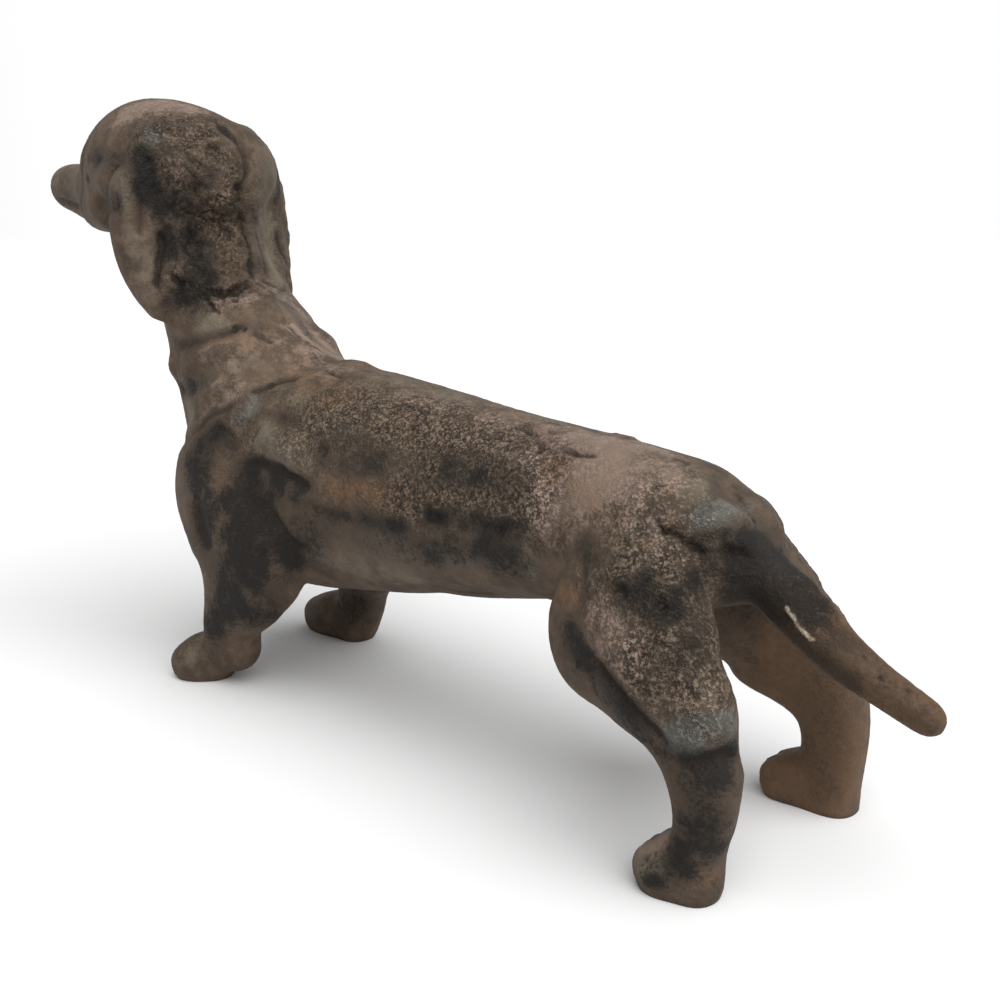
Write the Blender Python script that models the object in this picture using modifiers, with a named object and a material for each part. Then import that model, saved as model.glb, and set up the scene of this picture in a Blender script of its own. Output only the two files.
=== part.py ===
"""Standing dachshund, an iron casting about 220 mm long.

The dog faces -X, its left side is -Y, and it stands on the plane z = 0. The origin is on the ground,
under the middle of its length. The form is modelled as a sculptor would build it in clay: rolls with
oval sections are laid along the trunk, neck, head and limbs, fused, smoothed, and cut flat under the
paws. Sizes are in millimetres, and x counts from midway between the fore and hind paws.
"""

import bpy
import bmesh
import numpy as np

MM = 0.001

# Driving dimensions.
WHEELBASE = 115.0          # fore paw centre to hind paw centre
TRACK = 35.0               # left paw centre to right paw centre
SKULL_X = -97.0            # middle of the skull
SKULL_Z = 101.0
RIGHT_EAR_REACH = 0.90     # the right ear lies this much closer to the neck than the left
MID_LENGTH_X = -26.8       # middle of the length, from nose to tail tip

# How the clay is fused.
FUSE_STEP = 2.1            # grid on which the rolls are fused
FUSE_SMOOTHING = 6         # passes that round the inner corners where rolls meet
KEPT_FACES = 0.48          # share of the fused surface's triangles that stays in the solid
RING_SIDES = 28            # points round a section
SPAN_STEPS = 5             # rings between two stations
CAP_STEPS = 4              # rings that round off an end

HIND_X = WHEELBASE / 2
FORE_X = -WHEELBASE / 2
HALF_TRACK = TRACK / 2
LEFT, RIGHT = -1, 1        # sign of y on each side of the dog
EAR_TURN = 0.68            # radians by which an ear's flat side faces the nape

GROUND_BLOCK = (400.0, 200.0, 40.0)

IRON_COLOUR = (0.105, 0.082, 0.066, 1.0)
IRON_ROUGHNESS = 0.62
IRON_METALLIC = 0.35


def through(stations, steps):
    """Smooth values through the stations (Catmull-Rom), with so many steps in each span."""
    rows = np.asarray(stations, float)
    before = np.vstack([2 * rows[0] - rows[1], rows[:-1]])
    after = np.vstack([rows[1:], 2 * rows[-1] - rows[-2]])
    slope = (after - before) / 2
    t = np.linspace(0, 1, steps, endpoint=False)[:, None]
    spans = [
        (2 * t**3 - 3 * t**2 + 1) * rows[i]
        + (t**3 - 2 * t**2 + t) * slope[i]
        + (-2 * t**3 + 3 * t**2) * rows[i + 1]
        + (t**3 - t**2) * slope[i + 1]
        for i in range(len(rows) - 1)
    ]
    return np.vstack(spans + [rows[-1:]])


def rings_of(stations, squareness, turn):
    """Oval rings across the path. A station is (x, y, z, half width, half height above, half height below).

    The width runs along the side direction, the heights across both the side and the path: above is up
    on a path that runs forward, forward on one that runs down. The path's ends are rounded off with
    shrinking rings.
    """
    rows = through(stations, SPAN_STEPS)
    centre = rows[:, :3] - (MID_LENGTH_X, 0, 0)
    ahead = np.gradient(centre, axis=0)
    ahead /= np.linalg.norm(ahead, axis=1, keepdims=True)
    side = np.array([np.sin(turn), -np.cos(turn), 0.0])
    side = side - (ahead @ side)[:, None] * ahead
    side /= np.linalg.norm(side, axis=1, keepdims=True)
    above = np.cross(ahead, side)
    angle = np.linspace(0, 2 * np.pi, RING_SIDES, endpoint=False)
    power = 2 / squareness
    across = np.sign(np.cos(angle)) * np.abs(np.cos(angle)) ** power
    upward = np.sign(np.sin(angle)) * np.abs(np.sin(angle)) ** power

    def ring(i, shrink, shift):
        wide, high, low = rows[i, 3:6] * shrink
        height = np.where(upward >= 0, high, low) * upward
        return (
            centre[i]
            + shift * ahead[i]
            + (wide * across)[:, None] * side[i]
            + height[:, None] * above[i]
        )

    phases = np.linspace(0, np.pi / 2, CAP_STEPS + 1)[1:-1]
    first_cap, last_cap = rows[0, 3:6].min(), rows[-1, 3:6].min()
    rings = [ring(0, np.cos(p), -first_cap * np.sin(p)) for p in phases[::-1]]
    rings += [ring(i, 1.0, 0.0) for i in range(len(rows))]
    rings += [ring(-1, np.cos(p), last_cap * np.sin(p)) for p in phases]
    poles = centre[0] - first_cap * ahead[0], centre[-1] + last_cap * ahead[-1]
    return rings, poles


def add_roll(clay, stations, squareness=2.0, turn=0.0):
    """Adds one closed roll to the clay, lofted from ring to ring and closed at its two poles."""
    rings, poles = rings_of(stations, squareness, turn)
    rows = [[clay.verts.new(p * MM) for p in ring] for ring in rings]
    ends = [clay.verts.new(p * MM) for p in poles]
    for a, b in zip(rows[:-1], rows[1:]):
        for j in range(RING_SIDES):
            k = (j + 1) % RING_SIDES
            clay.faces.new((a[j], a[k], b[k], b[j]))
    for j in range(RING_SIDES):
        k = (j + 1) % RING_SIDES
        clay.faces.new((ends[0], rows[0][k], rows[0][j]))
        clay.faces.new((ends[1], rows[-1][j], rows[-1][k]))


def on_skull(stations):
    """Stations counted from the middle of the skull."""
    return [(SKULL_X + x, y, SKULL_Z + z, *sizes) for x, y, z, *sizes in stations]


def mirrored(stations):
    """The same roll on the other side of the dog."""
    return [(x, -y, z, *sizes) for x, y, z, *sizes in stations]


def add_leg_roll(clay, paw_x, side, stations, squareness):
    """A roll of one leg. Its stations count x from the paw and y inwards from the paw's middle."""
    placed = [(paw_x + x, side * (HALF_TRACK - inward), z, *sizes) for x, inward, z, *sizes in stations]
    add_roll(clay, placed, squareness)


def add_trunk(clay):
    """Barrel of the body, from the rump forward to the breastbone."""
    add_roll(clay, [
        (52, 0, 45.0, 10.0, 6.5, 9.0),
        (46, 0, 45.0, 13.5, 10.3, 11.0),
        (36, 0, 45.2, 14.0, 11.8, 12.8),
        (20, 0, 44.6, 14.5, 14.0, 15.2),
        (4, 0, 43.3, 16.0, 16.8, 17.2),
        (-12, 0, 43.0, 17.8, 18.8, 19.0),
        (-27, 0, 43.0, 18.8, 20.3, 21.5),
        (-40, 0, 43.0, 18.8, 20.4, 23.5),
        (-54, 0, 43.0, 17.5, 14.0, 22.0),
        (-62.5, 0, 42.0, 14.5, 11.0, 16.0),
    ], squareness=2.1)


def add_neck(clay):
    """Neck, from between the shoulders up to the back of the skull."""
    add_roll(clay, [
        (-50, 0, 44, 17.5, 15.0, 20.0),
        (-56, 0, 53, 17.5, 17.5, 20.5),
        (-63, 0, 63, 15.8, 13.9, 17.5),
        (-70, 0, 72, 14.1, 11.4, 14.3),
        (-76, 0, 84, 12.0, 9.6, 13.0),
        (-79, 0, 96, 15.0, 12.0, 13.0),
    ])


def add_head(clay):
    """Skull and muzzle, from the nape forward to the nose, and the hanging lip on each side."""
    add_roll(clay, on_skull([
        (22, 0, -2, 15.0, 12.0, 12.0),
        (11, 0, -1, 16.0, 14.5, 14.0),
        (0, 0, 0, 15.0, 14.6, 14.5),
        (-9, 0, 0, 12.0, 10.8, 14.5),
        (-15, 0, -1.5, 9.2, 7.2, 12.5),
        (-22, 0, -3, 7.0, 5.8, 9.5),
        (-30, 0, -3, 6.3, 5.5, 7.0),
        (-35, 0, -3, 6.0, 5.6, 5.6),
    ]))
    left_lip = on_skull([
        (-1, -8.0, -7.5, 6.5, 6.5, 6.0),
        (-10, -6.5, -7.5, 5.5, 6.0, 5.6),
        (-19, -4.0, -7, 3.5, 4.5, 5.0),
    ])
    add_roll(clay, left_lip)
    add_roll(clay, mirrored(left_lip))


def add_ears(clay):
    """Long ear flaps, hanging from the side of the skull down the neck and wrapped towards the nape."""
    left = on_skull([
        (19, -11.5, 6, 3.2, 4.5, 5.0),
        (20.5, -14.6, 0, 3.6, 6.8, 7.5),
        (21, -15.4, -8, 3.8, 7.8, 8.5),
        (22, -15.2, -16, 3.8, 7.6, 8.5),
        (25, -14.6, -23, 3.4, 7.0, 7.5),
        (26.5, -14.2, -27.5, 2.6, 5.2, 5.5),
    ])
    right = [
        (x, -RIGHT_EAR_REACH * y, z, thick, fore, RIGHT_EAR_REACH * rear)
        for x, y, z, thick, fore, rear in left
    ]
    add_roll(clay, left, turn=EAR_TURN)
    add_roll(clay, right, turn=-EAR_TURN)


def add_hind_legs(clay):
    """Thigh, shank, hock and paw. The right hind foot is cast a little longer than the left."""
    for side in (LEFT, RIGHT):
        add_leg_roll(clay, HIND_X, side, [
            (-14.5, 10.5, 46.0, 5.5, 9.0, 7.5),
            (-14.0, 7.5, 41.5, 7.5, 13.0, 9.0),
            (-12.5, 5.0, 36.5, 8.0, 16.4, 10.4),
            (-10.5, 3.2, 32.0, 7.8, 15.5, 11.4),
            (-7.0, 1.7, 27.5, 6.8, 8.6, 10.8),
            (-2.5, 0.7, 23.5, 5.6, 5.4, 9.6),
            (0.8, 0.2, 18.0, 4.5, 4.2, 5.8),
            (2.3, 0.0, 12.0, 4.0, 4.0, 4.2),
        ], squareness=2.3)
    add_leg_roll(clay, HIND_X, LEFT, [
        (0.8, 0.2, 18, 4.5, 4.2, 7.2),
        (2.1, 0.0, 12, 4.2, 4.0, 5.0),
        (1.9, 0.0, 7, 4.2, 4.4, 3.4),
        (1.3, 0.2, 1, 4.2, 4.8, 3.8),
    ], squareness=2.2)
    add_leg_roll(clay, HIND_X, RIGHT, [
        (-6.0, 1.5, 26, 6.0, 10.5, 11.0),
        (-1.5, 0.3, 21.5, 5.4, 8.0, 9.6),
        (1.8, -0.2, 16.5, 4.9, 5.0, 6.6),
        (2.9, -0.5, 12, 4.6, 4.8, 5.4),
        (2.9, -0.8, 7, 4.4, 5.0, 4.8),
        (2.7, -0.8, -3, 4.2, 5.2, 4.6),
    ], squareness=2.6)
    add_leg_roll(clay, HIND_X, LEFT, [
        (0.5, 0.0, 3.6, 4.4, 5.0, 6.0),
        (-3.0, -0.3, 3.4, 5.4, 4.6, 6.0),
        (-4.2, -0.3, 3.0, 5.2, 3.8, 6.0),
    ], squareness=2.4)
    add_leg_roll(clay, HIND_X, RIGHT, [
        (1.0, -0.6, 4.2, 4.4, 4.2, 6.0),
        (-2.5, -0.4, 3.8, 5.0, 4.2, 6.0),
        (-5.6, -0.2, 3.2, 5.0, 3.4, 6.0),
    ], squareness=2.4)


def add_fore_legs(clay):
    """Shoulder, upper arm, short forearm and paw. The left leg ends above the ground at its heel."""
    upper_leg = [
        (8.5, 7.0, 52, 7.0, 11.0, 11.0),
        (4.5, 4.0, 45, 7.5, 12.5, 13.0),
        (4.5, 2.5, 39, 7.5, 13.8, 14.0),
        (7.5, 2.0, 33, 7.5, 13.0, 15.0),
        (10.0, 2.0, 27, 7.5, 12.8, 17.0),
        (9.0, 1.5, 20, 6.4, 8.8, 11.5),
        (6.5, 0.5, 13, 5.4, 5.4, 6.6),
    ]
    left_end = [(5.4, 1.3, 7.5, 5.2, 5.8, 6.4)]
    right_end = [(5.2, 0.2, 8, 5.2, 5.0, 6.0), (4.0, 0.2, 2, 4.8, 5.4, 4.2)]
    add_leg_roll(clay, FORE_X, LEFT, upper_leg + left_end, squareness=2.2)
    add_leg_roll(clay, FORE_X, RIGHT, upper_leg + right_end, squareness=2.2)
    add_leg_roll(clay, FORE_X, LEFT, [
        (0.4, 0.6, 4.8, 5.2, 4.6, 6.0),
        (-2.5, -0.6, 4.0, 6.3, 4.8, 6.0),
        (-5.0, -1.3, 3.0, 5.9, 3.6, 6.0),
    ], squareness=2.4)
    add_leg_roll(clay, FORE_X, RIGHT, [
        (3.5, 0.0, 4.6, 5.2, 4.6, 6.0),
        (-2.0, 0.0, 4.4, 6.6, 5.0, 6.0),
        (-7.5, 0.0, 3.6, 5.8, 4.0, 6.0),
    ], squareness=2.4)


def add_tail(clay):
    """Tail, hanging back and down from the rump."""
    add_roll(clay, [
        (50, 0.0, 46.5, 5.0, 5.0, 5.0),
        (58, 0.0, 41.3, 4.5, 4.5, 4.5),
        (65, 0.5, 35.8, 4.3, 4.3, 4.3),
        (73, 1.5, 30.2, 3.9, 3.9, 3.9),
        (80.9, 2.4, 26.2, 3.6, 3.6, 3.6),
    ])


def make_clay():
    """All rolls in one mesh, still overlapping."""
    clay = bmesh.new()
    add_trunk(clay)
    add_neck(clay)
    add_head(clay)
    add_ears(clay)
    add_hind_legs(clay)
    add_fore_legs(clay)
    add_tail(clay)
    bmesh.ops.recalc_face_normals(clay, faces=clay.faces)
    mesh = bpy.data.meshes.new("dachshund")
    clay.to_mesh(mesh)
    clay.free()
    return mesh


def iron():
    """Cast iron with a worn brown finish."""
    material = bpy.data.materials.new("cast_iron")
    material.use_nodes = True
    shader = material.node_tree.nodes["Principled BSDF"]
    shader.inputs["Base Color"].default_value = IRON_COLOUR
    shader.inputs["Roughness"].default_value = IRON_ROUGHNESS
    shader.inputs["Metallic"].default_value = IRON_METALLIC
    return material


def ground_cutter(collection):
    """Block under the plane z = 0 that cuts the soles flat."""
    bpy.ops.mesh.primitive_cube_add(size=1)
    block = bpy.context.object
    block.name = "ground_cutter"
    block.scale = [side * MM for side in GROUND_BLOCK]
    block.location = (0, 0, -GROUND_BLOCK[2] / 2 * MM)
    block.hide_render = True
    block.display_type = "WIRE"
    for other in block.users_collection:
        other.objects.unlink(block)
    collection.objects.link(block)
    return block


def fuse(dog, cutter):
    """Modifiers that turn the overlapping rolls into one smooth closed solid with flat soles."""
    remesh = dog.modifiers.new("fuse", "REMESH")
    remesh.mode = "VOXEL"
    remesh.voxel_size = FUSE_STEP * MM
    smooth = dog.modifiers.new("round_inner_corners", "SMOOTH")
    smooth.factor = 0.5
    smooth.iterations = FUSE_SMOOTHING
    thin = dog.modifiers.new("fewer_faces", "DECIMATE")
    thin.ratio = KEPT_FACES
    soles = dog.modifiers.new("flat_soles", "BOOLEAN")
    soles.operation = "DIFFERENCE"
    soles.object = cutter


def main():
    for obj in list(bpy.data.objects):
        bpy.data.objects.remove(obj)
    statue = bpy.data.collections.new("dachshund_statue")
    cutters = bpy.data.collections.new("cutters")
    bpy.context.scene.collection.children.link(statue)
    bpy.context.scene.collection.children.link(cutters)
    dog = bpy.data.objects.new("dachshund", make_clay())
    statue.objects.link(dog)
    dog.data.materials.append(iron())
    fuse(dog, ground_cutter(cutters))


main()
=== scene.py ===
# %% [markdown]
# # A dachshund cast in iron
# The real thing is a small solid casting, about 220 mm from nose to tail tip. A pattern was pressed
# into sand in two halves, iron was poured in, and the rough brown skin that came out was never
# filed smooth. This lesson builds it in that order: the clay model, the pattern's folds and cuts,
# the sand's grain, and at last the worn finish.
#
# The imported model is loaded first. It is the fixed frame: it says where the dog stands and how big
# it is, and the fine surface made here takes its place without changing its size.

import bpy
import bmesh
import numpy as np
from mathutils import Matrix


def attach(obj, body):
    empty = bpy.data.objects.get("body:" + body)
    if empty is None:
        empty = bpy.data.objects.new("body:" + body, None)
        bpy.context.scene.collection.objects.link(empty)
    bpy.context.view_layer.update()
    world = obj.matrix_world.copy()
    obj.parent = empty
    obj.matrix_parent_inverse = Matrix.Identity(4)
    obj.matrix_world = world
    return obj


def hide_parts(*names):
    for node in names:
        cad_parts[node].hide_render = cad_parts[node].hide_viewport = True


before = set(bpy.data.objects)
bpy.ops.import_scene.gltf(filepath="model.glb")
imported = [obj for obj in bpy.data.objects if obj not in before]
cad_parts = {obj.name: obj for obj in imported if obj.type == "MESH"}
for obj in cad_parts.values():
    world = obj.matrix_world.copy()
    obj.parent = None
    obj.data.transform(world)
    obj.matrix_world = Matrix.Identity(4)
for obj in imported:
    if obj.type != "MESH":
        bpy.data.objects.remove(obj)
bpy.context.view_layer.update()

MM = 0.001

# %% [markdown]
# ## Measures of the dog
# A sculptor works from a few measures: how far apart the paws stand, and where the skull sits. All
# sizes below are in millimetres, and x counts from midway between the fore and hind paws, with the
# nose towards -x and the dog's left side towards -y. The finished mesh is shifted by MID_LENGTH_X at
# the end, because the part's origin lies under the middle of its length.

# %% Driving measures
WHEELBASE = 115.0
TRACK = 35.0
SKULL_X, SKULL_Z = -97.0, 101.0
RIGHT_EAR_REACH = 0.90
MID_LENGTH_X = -26.8
HIND_X, FORE_X = WHEELBASE / 2, -WHEELBASE / 2
HALF_TRACK = TRACK / 2
LEFT, RIGHT = -1, 1
EAR_TURN = 0.68   # radians that the ears' flat side is turned towards the nape
print("paws at x", FORE_X, "and", HIND_X, "and y", -HALF_TRACK, "and", HALF_TRACK)

# %% [markdown]
# ## Clay rolls
# Every part of the body is a roll of clay with oval sections. A station gives the middle of a
# section, its half width, and its half heights above and below. A smooth curve runs through the
# stations, so a few of them describe a whole leg, and a wrong form is mended by changing one number.
# The roll is a grid: one direction runs along the path, the other round the section.

# %% Smooth values through stations
def through(stations, steps):
    """Catmull-Rom: each span is a cubic whose slope at a station is half the step between its
    two neighbours. Gives so many rows for each span, and the last station."""
    rows = np.asarray(stations, float)
    before = np.vstack([2 * rows[0] - rows[1], rows[:-1]])
    after = np.vstack([rows[1:], 2 * rows[-1] - rows[-2]])
    slope = (after - before) / 2
    t = np.linspace(0, 1, steps, endpoint=False)[None, :, None]
    a, b, m, n = (v[:, None, :] for v in (rows[:-1], rows[1:], slope[:-1], slope[1:]))
    spans = (
        (2 * t**3 - 3 * t**2 + 1) * a + (t**3 - 2 * t**2 + t) * m
        + (3 * t**2 - 2 * t**3) * b + (t**3 - t**2) * n
    )
    return np.vstack([spans.reshape(-1, rows.shape[1]), rows[-1:]])


def unit(vectors):
    """Each row divided by its length."""
    return vectors / np.maximum(np.linalg.norm(vectors, axis=-1, keepdims=True), 1e-12)


print("halfway between 0, 1 and 4:", through([[0.0], [1.0], [4.0]], 2).ravel().round(2))

# %% One closed roll
RING_SIDES, SPAN_STEPS, CAP_STEPS = 44, 9, 8


def roll(stations, squareness=2.0, turn=0.0):
    """A point is middle + width * cos(a) * side + height * sin(a) * above, with cosine and sine
    raised to 2 / squareness, which makes the oval fuller. Both ends shrink as the cosine of a
    quarter turn while they move on as its sine, so they close in a dome at a pole."""
    rows = through(stations, SPAN_STEPS)
    ahead = unit(np.gradient(rows[:, :3], axis=0))
    side = np.array([np.sin(turn), -np.cos(turn), 0.0])
    side = unit(side - (ahead @ side)[:, None] * ahead)
    above = np.cross(ahead, side)
    last = len(rows) - 1
    phase = np.linspace(0, np.pi / 2, CAP_STEPS + 1)[1:-1]
    which = np.concatenate([0 * phase, np.arange(last + 1), 0 * phase + last]).astype(int)
    shrink = np.concatenate([np.cos(phase[::-1]), np.ones(last + 1), np.cos(phase)])
    caps = rows[0, 3:6].min(), rows[-1, 3:6].min()
    shift = np.concatenate([-caps[0] * np.sin(phase[::-1]), np.zeros(last + 1), caps[1] * np.sin(phase)])
    angle = np.linspace(0, 2 * np.pi, RING_SIDES, endpoint=False)
    across, upward = (
        np.sign(f) * np.abs(f) ** (2 / squareness) for f in (np.cos(angle), np.sin(angle))
    )
    size = rows[which, 3:6] * shrink[:, None]
    height = np.where(upward >= 0, size[:, 1:2], size[:, 2:3]) * upward
    grid = (
        (rows[which, :3] + shift[:, None] * ahead[which])[:, None]
        + (size[:, :1] * across)[..., None] * side[which][:, None]
        + height[..., None] * above[which][:, None]
    )
    poles = [rows[0, :3] - caps[0] * ahead[0], rows[-1, :3] + caps[1] * ahead[-1]]
    return np.vstack([grid.reshape(-1, 3), poles]), roll_faces(len(which))


def roll_faces(rings):
    """Quads between neighbouring rings, and a fan of triangles round each pole."""
    j = np.arange(RING_SIDES)
    k = (j + 1) % RING_SIDES
    base = (np.arange(rings - 1) * RING_SIDES)[:, None]
    quads = np.stack([base + j, base + k, base + k + RING_SIDES, base + j + RING_SIDES], axis=-1)
    first, end = rings * RING_SIDES, (rings - 1) * RING_SIDES
    fans = [np.stack([0 * j + first, k, j], 1), np.stack([0 * j + first + 1, end + j, end + k], 1)]
    return quads.reshape(-1, 4).tolist() + np.vstack(fans).tolist()


clay = []
print("one roll has", len(roll([(0, 0, 0, 1, 1, 1), (1, 0, 0, 1, 1, 1)])[0]), "points at least")

# %% [markdown]
# ## The rolls of the body
# The trunk is deepest behind the forelegs and tucked up at the loin, as in every dachshund. The neck
# rises from between the shoulders. The head is a short skull with a slender muzzle, and a hanging
# lip on each side.

# %% Trunk, neck and head
def on_skull(stations):
    """Stations counted from the middle of the skull."""
    return [(SKULL_X + x, y, SKULL_Z + z, *sizes) for x, y, z, *sizes in stations]


def mirrored(rows):
    """The same rows on the other side of the dog."""
    return [(x, -y, z, *rest) for x, y, z, *rest in rows]


clay.append(roll([
    (52, 0, 45.0, 10.0, 6.5, 9.0),
    (46, 0, 45.0, 13.5, 10.3, 11.0),
    (36, 0, 45.2, 14.0, 11.8, 12.8),
    (20, 0, 44.6, 14.5, 14.0, 15.2),
    (4, 0, 43.3, 16.0, 16.8, 17.2),
    (-12, 0, 43.0, 17.8, 18.8, 19.0),
    (-27, 0, 43.0, 18.8, 20.3, 21.5),
    (-40, 0, 43.0, 18.8, 20.4, 23.5),
    (-54, 0, 43.0, 17.5, 14.0, 22.0),
    (-62.5, 0, 42.0, 14.5, 11.0, 16.0),
], squareness=2.1))
clay.append(roll([
    (-50, 0, 44, 17.5, 15.0, 20.0),
    (-56, 0, 53, 17.5, 17.5, 20.5),
    (-63, 0, 63, 15.8, 13.9, 17.5),
    (-70, 0, 72, 14.1, 11.4, 14.3),
    (-76, 0, 84, 12.0, 9.6, 13.0),
    (-79, 0, 96, 15.0, 12.0, 13.0),
]))
clay.append(roll(on_skull([
    (22, 0, -2, 15.0, 12.0, 12.0),
    (11, 0, -1, 16.0, 14.5, 14.0),
    (0, 0, 0, 15.0, 14.6, 14.5),
    (-9, 0, 0, 12.0, 10.8, 14.5),
    (-15, 0, -1.5, 9.2, 7.2, 12.5),
    (-22, 0, -3, 7.0, 5.8, 9.5),
    (-30, 0, -3, 6.3, 5.5, 7.0),
    (-35, 0, -3, 6.0, 5.6, 5.6),
])))
left_lip = on_skull([
    (-1, -8.0, -7.5, 6.5, 6.5, 6.0),
    (-10, -6.5, -7.5, 5.5, 6.0, 5.6),
    (-19, -4.0, -7, 3.5, 4.5, 5.0),
])
clay.append(roll(left_lip))
clay.append(roll(mirrored(left_lip)))
print("rolls so far:", len(clay))

# %% [markdown]
# ## Ears
# A dachshund's ears are long flaps, set on high and hanging down the side of the neck. Here they lie
# close, and turn their flat side a little towards the nape. The right one lies closer than the left.

# %% Ear flaps
left_ear = on_skull([
    (19, -11.5, 6, 3.2, 3.4, 5.0),
    (20.5, -14.6, 0, 3.6, 4.4, 7.5),
    (21, -15.4, -8, 3.8, 7.0, 8.5),
    (22, -15.2, -16, 3.8, 7.6, 8.5),
    (25, -14.6, -23, 3.4, 7.0, 7.5),
    (26.5, -14.2, -27.5, 2.6, 5.2, 5.5),
])
right_ear = [
    (x, -RIGHT_EAR_REACH * y, z, thick, fore, RIGHT_EAR_REACH * rear)
    for x, y, z, thick, fore, rear in left_ear
]
clay.append(roll(left_ear, turn=EAR_TURN))
clay.append(roll(right_ear, turn=-EAR_TURN))
print("rolls with ears:", len(clay))

# %% [markdown]
# ## Legs, paws and tail
# The legs are short and stout, with a deep thigh and an elbow that lies against the chest. The right
# hind foot is cast a little longer than the left, and the left fore heel ends clear of the ground:
# nobody corrected the pattern, and these small faults make the casting look made by hand. The tail
# slopes down and back, and ends blunt.

# %% Leg rolls
def leg_roll(paw_x, side, stations, squareness):
    """A roll whose stations count x from the paw, and y inwards from the paw's middle."""
    placed = [(paw_x + x, side * (HALF_TRACK - inward), z, *sizes) for x, inward, z, *sizes in stations]
    clay.append(roll(placed, squareness))


for side in (LEFT, RIGHT):
    leg_roll(HIND_X, side, [
        (-14.5, 10.5, 46.0, 5.5, 9.0, 7.5),
        (-14.0, 7.5, 41.5, 7.5, 13.0, 9.0),
        (-12.5, 5.0, 36.5, 8.0, 16.4, 10.4),
        (-10.5, 3.2, 32.0, 7.8, 15.5, 11.4),
        (-7.0, 1.7, 27.5, 6.8, 8.6, 10.8),
        (-2.5, 0.7, 23.5, 5.6, 5.4, 9.6),
        (0.8, 0.2, 18.0, 4.5, 4.2, 5.8),
        (2.3, 0.0, 12.0, 4.0, 4.0, 4.2),
    ], 2.3)
leg_roll(HIND_X, LEFT, [
    (0.8, 0.2, 18, 4.5, 4.2, 7.2),
    (2.1, 0.0, 12, 4.2, 4.0, 5.0),
    (1.9, 0.0, 7, 4.2, 4.4, 3.4),
    (1.3, 0.2, 1, 4.2, 4.8, 3.8),
], 2.2)
leg_roll(HIND_X, RIGHT, [
    (-6.0, 1.5, 26, 6.0, 10.5, 11.0),
    (-1.5, 0.3, 21.5, 5.4, 8.0, 9.6),
    (1.8, -0.2, 16.5, 4.9, 5.0, 6.6),
    (2.9, -0.5, 12, 4.6, 4.8, 5.4),
    (2.9, -0.8, 7, 4.4, 5.0, 4.8),
    (2.7, -0.8, -3, 4.2, 5.2, 4.6),
], 2.6)
leg_roll(HIND_X, LEFT, [
    (0.5, 0.0, 3.6, 4.4, 5.0, 6.0),
    (-3.0, -0.3, 3.4, 5.4, 4.6, 6.0),
    (-4.2, -0.3, 3.0, 5.2, 3.8, 6.0),
], 2.4)
leg_roll(HIND_X, RIGHT, [
    (1.0, -0.6, 4.2, 4.4, 4.2, 6.0),
    (-2.5, -0.4, 3.8, 5.0, 4.2, 6.0),
    (-5.6, -0.2, 3.2, 5.0, 3.4, 6.0),
], 2.4)
upper_foreleg = [
    (8.5, 7.0, 52, 7.0, 11.0, 11.0),
    (4.5, 4.0, 45, 7.5, 12.5, 13.0),
    (4.5, 2.5, 39, 7.5, 13.8, 14.0),
    (7.5, 2.0, 33, 7.5, 13.0, 15.0),
    (10.0, 2.0, 27, 7.5, 12.8, 17.0),
    (9.0, 1.5, 20, 6.4, 8.8, 11.5),
    (6.5, 0.5, 13, 5.4, 5.4, 6.6),
]
leg_roll(FORE_X, LEFT, upper_foreleg + [(5.4, 1.3, 7.5, 5.2, 5.8, 6.4)], 2.2)
leg_roll(FORE_X, RIGHT, upper_foreleg + [
    (5.2, 0.2, 8, 5.2, 5.0, 6.0),
    (4.0, 0.2, 2, 4.8, 5.4, 4.2),
], 2.2)
leg_roll(FORE_X, LEFT, [
    (0.4, 0.6, 4.8, 5.2, 4.6, 6.0),
    (-2.5, -0.6, 4.0, 6.3, 4.8, 6.0),
    (-5.0, -1.3, 3.0, 5.9, 3.6, 6.0),
], 2.4)
leg_roll(FORE_X, RIGHT, [
    (3.5, 0.0, 4.6, 5.2, 4.6, 6.0),
    (-2.0, 0.0, 4.4, 6.6, 5.0, 6.0),
    (-7.5, 0.0, 3.6, 5.8, 4.0, 6.0),
], 2.4)
clay.append(roll([
    (50, 0.0, 46.5, 5.0, 5.0, 5.0),
    (58, 0.0, 41.3, 4.5, 4.5, 4.5),
    (65, 0.5, 35.8, 4.3, 4.3, 4.3),
    (73, 1.5, 30.2, 3.9, 3.9, 3.9),
    (80.9, 2.4, 26.2, 3.6, 3.6, 3.6),
]))
print("rolls in all:", len(clay), "with", sum(len(points) for points, _ in clay), "points")

# %% [markdown]
# ## Fusing the clay
# The rolls overlap, as laid-on clay does. The Remesh modifier reads them on a fine grid and draws one
# skin round them all, and the Smooth modifier rounds the inner corners where two rolls meet, as a
# thumb would. Last, everything below the ground is cut off flat, which makes the soles.

# %% One skin round all rolls
GRAIN_STEP = 0.44          # grid of the fine skin, in mm
INNER_CORNER_PASSES = 100  # smoothing of the corners between rolls


def added(name, data):
    """A new object in the scene, at the origin, that shows this mesh, lamp or camera."""
    new = bpy.data.objects.new(name, data)
    bpy.context.scene.collection.objects.link(new)
    return new


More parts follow.
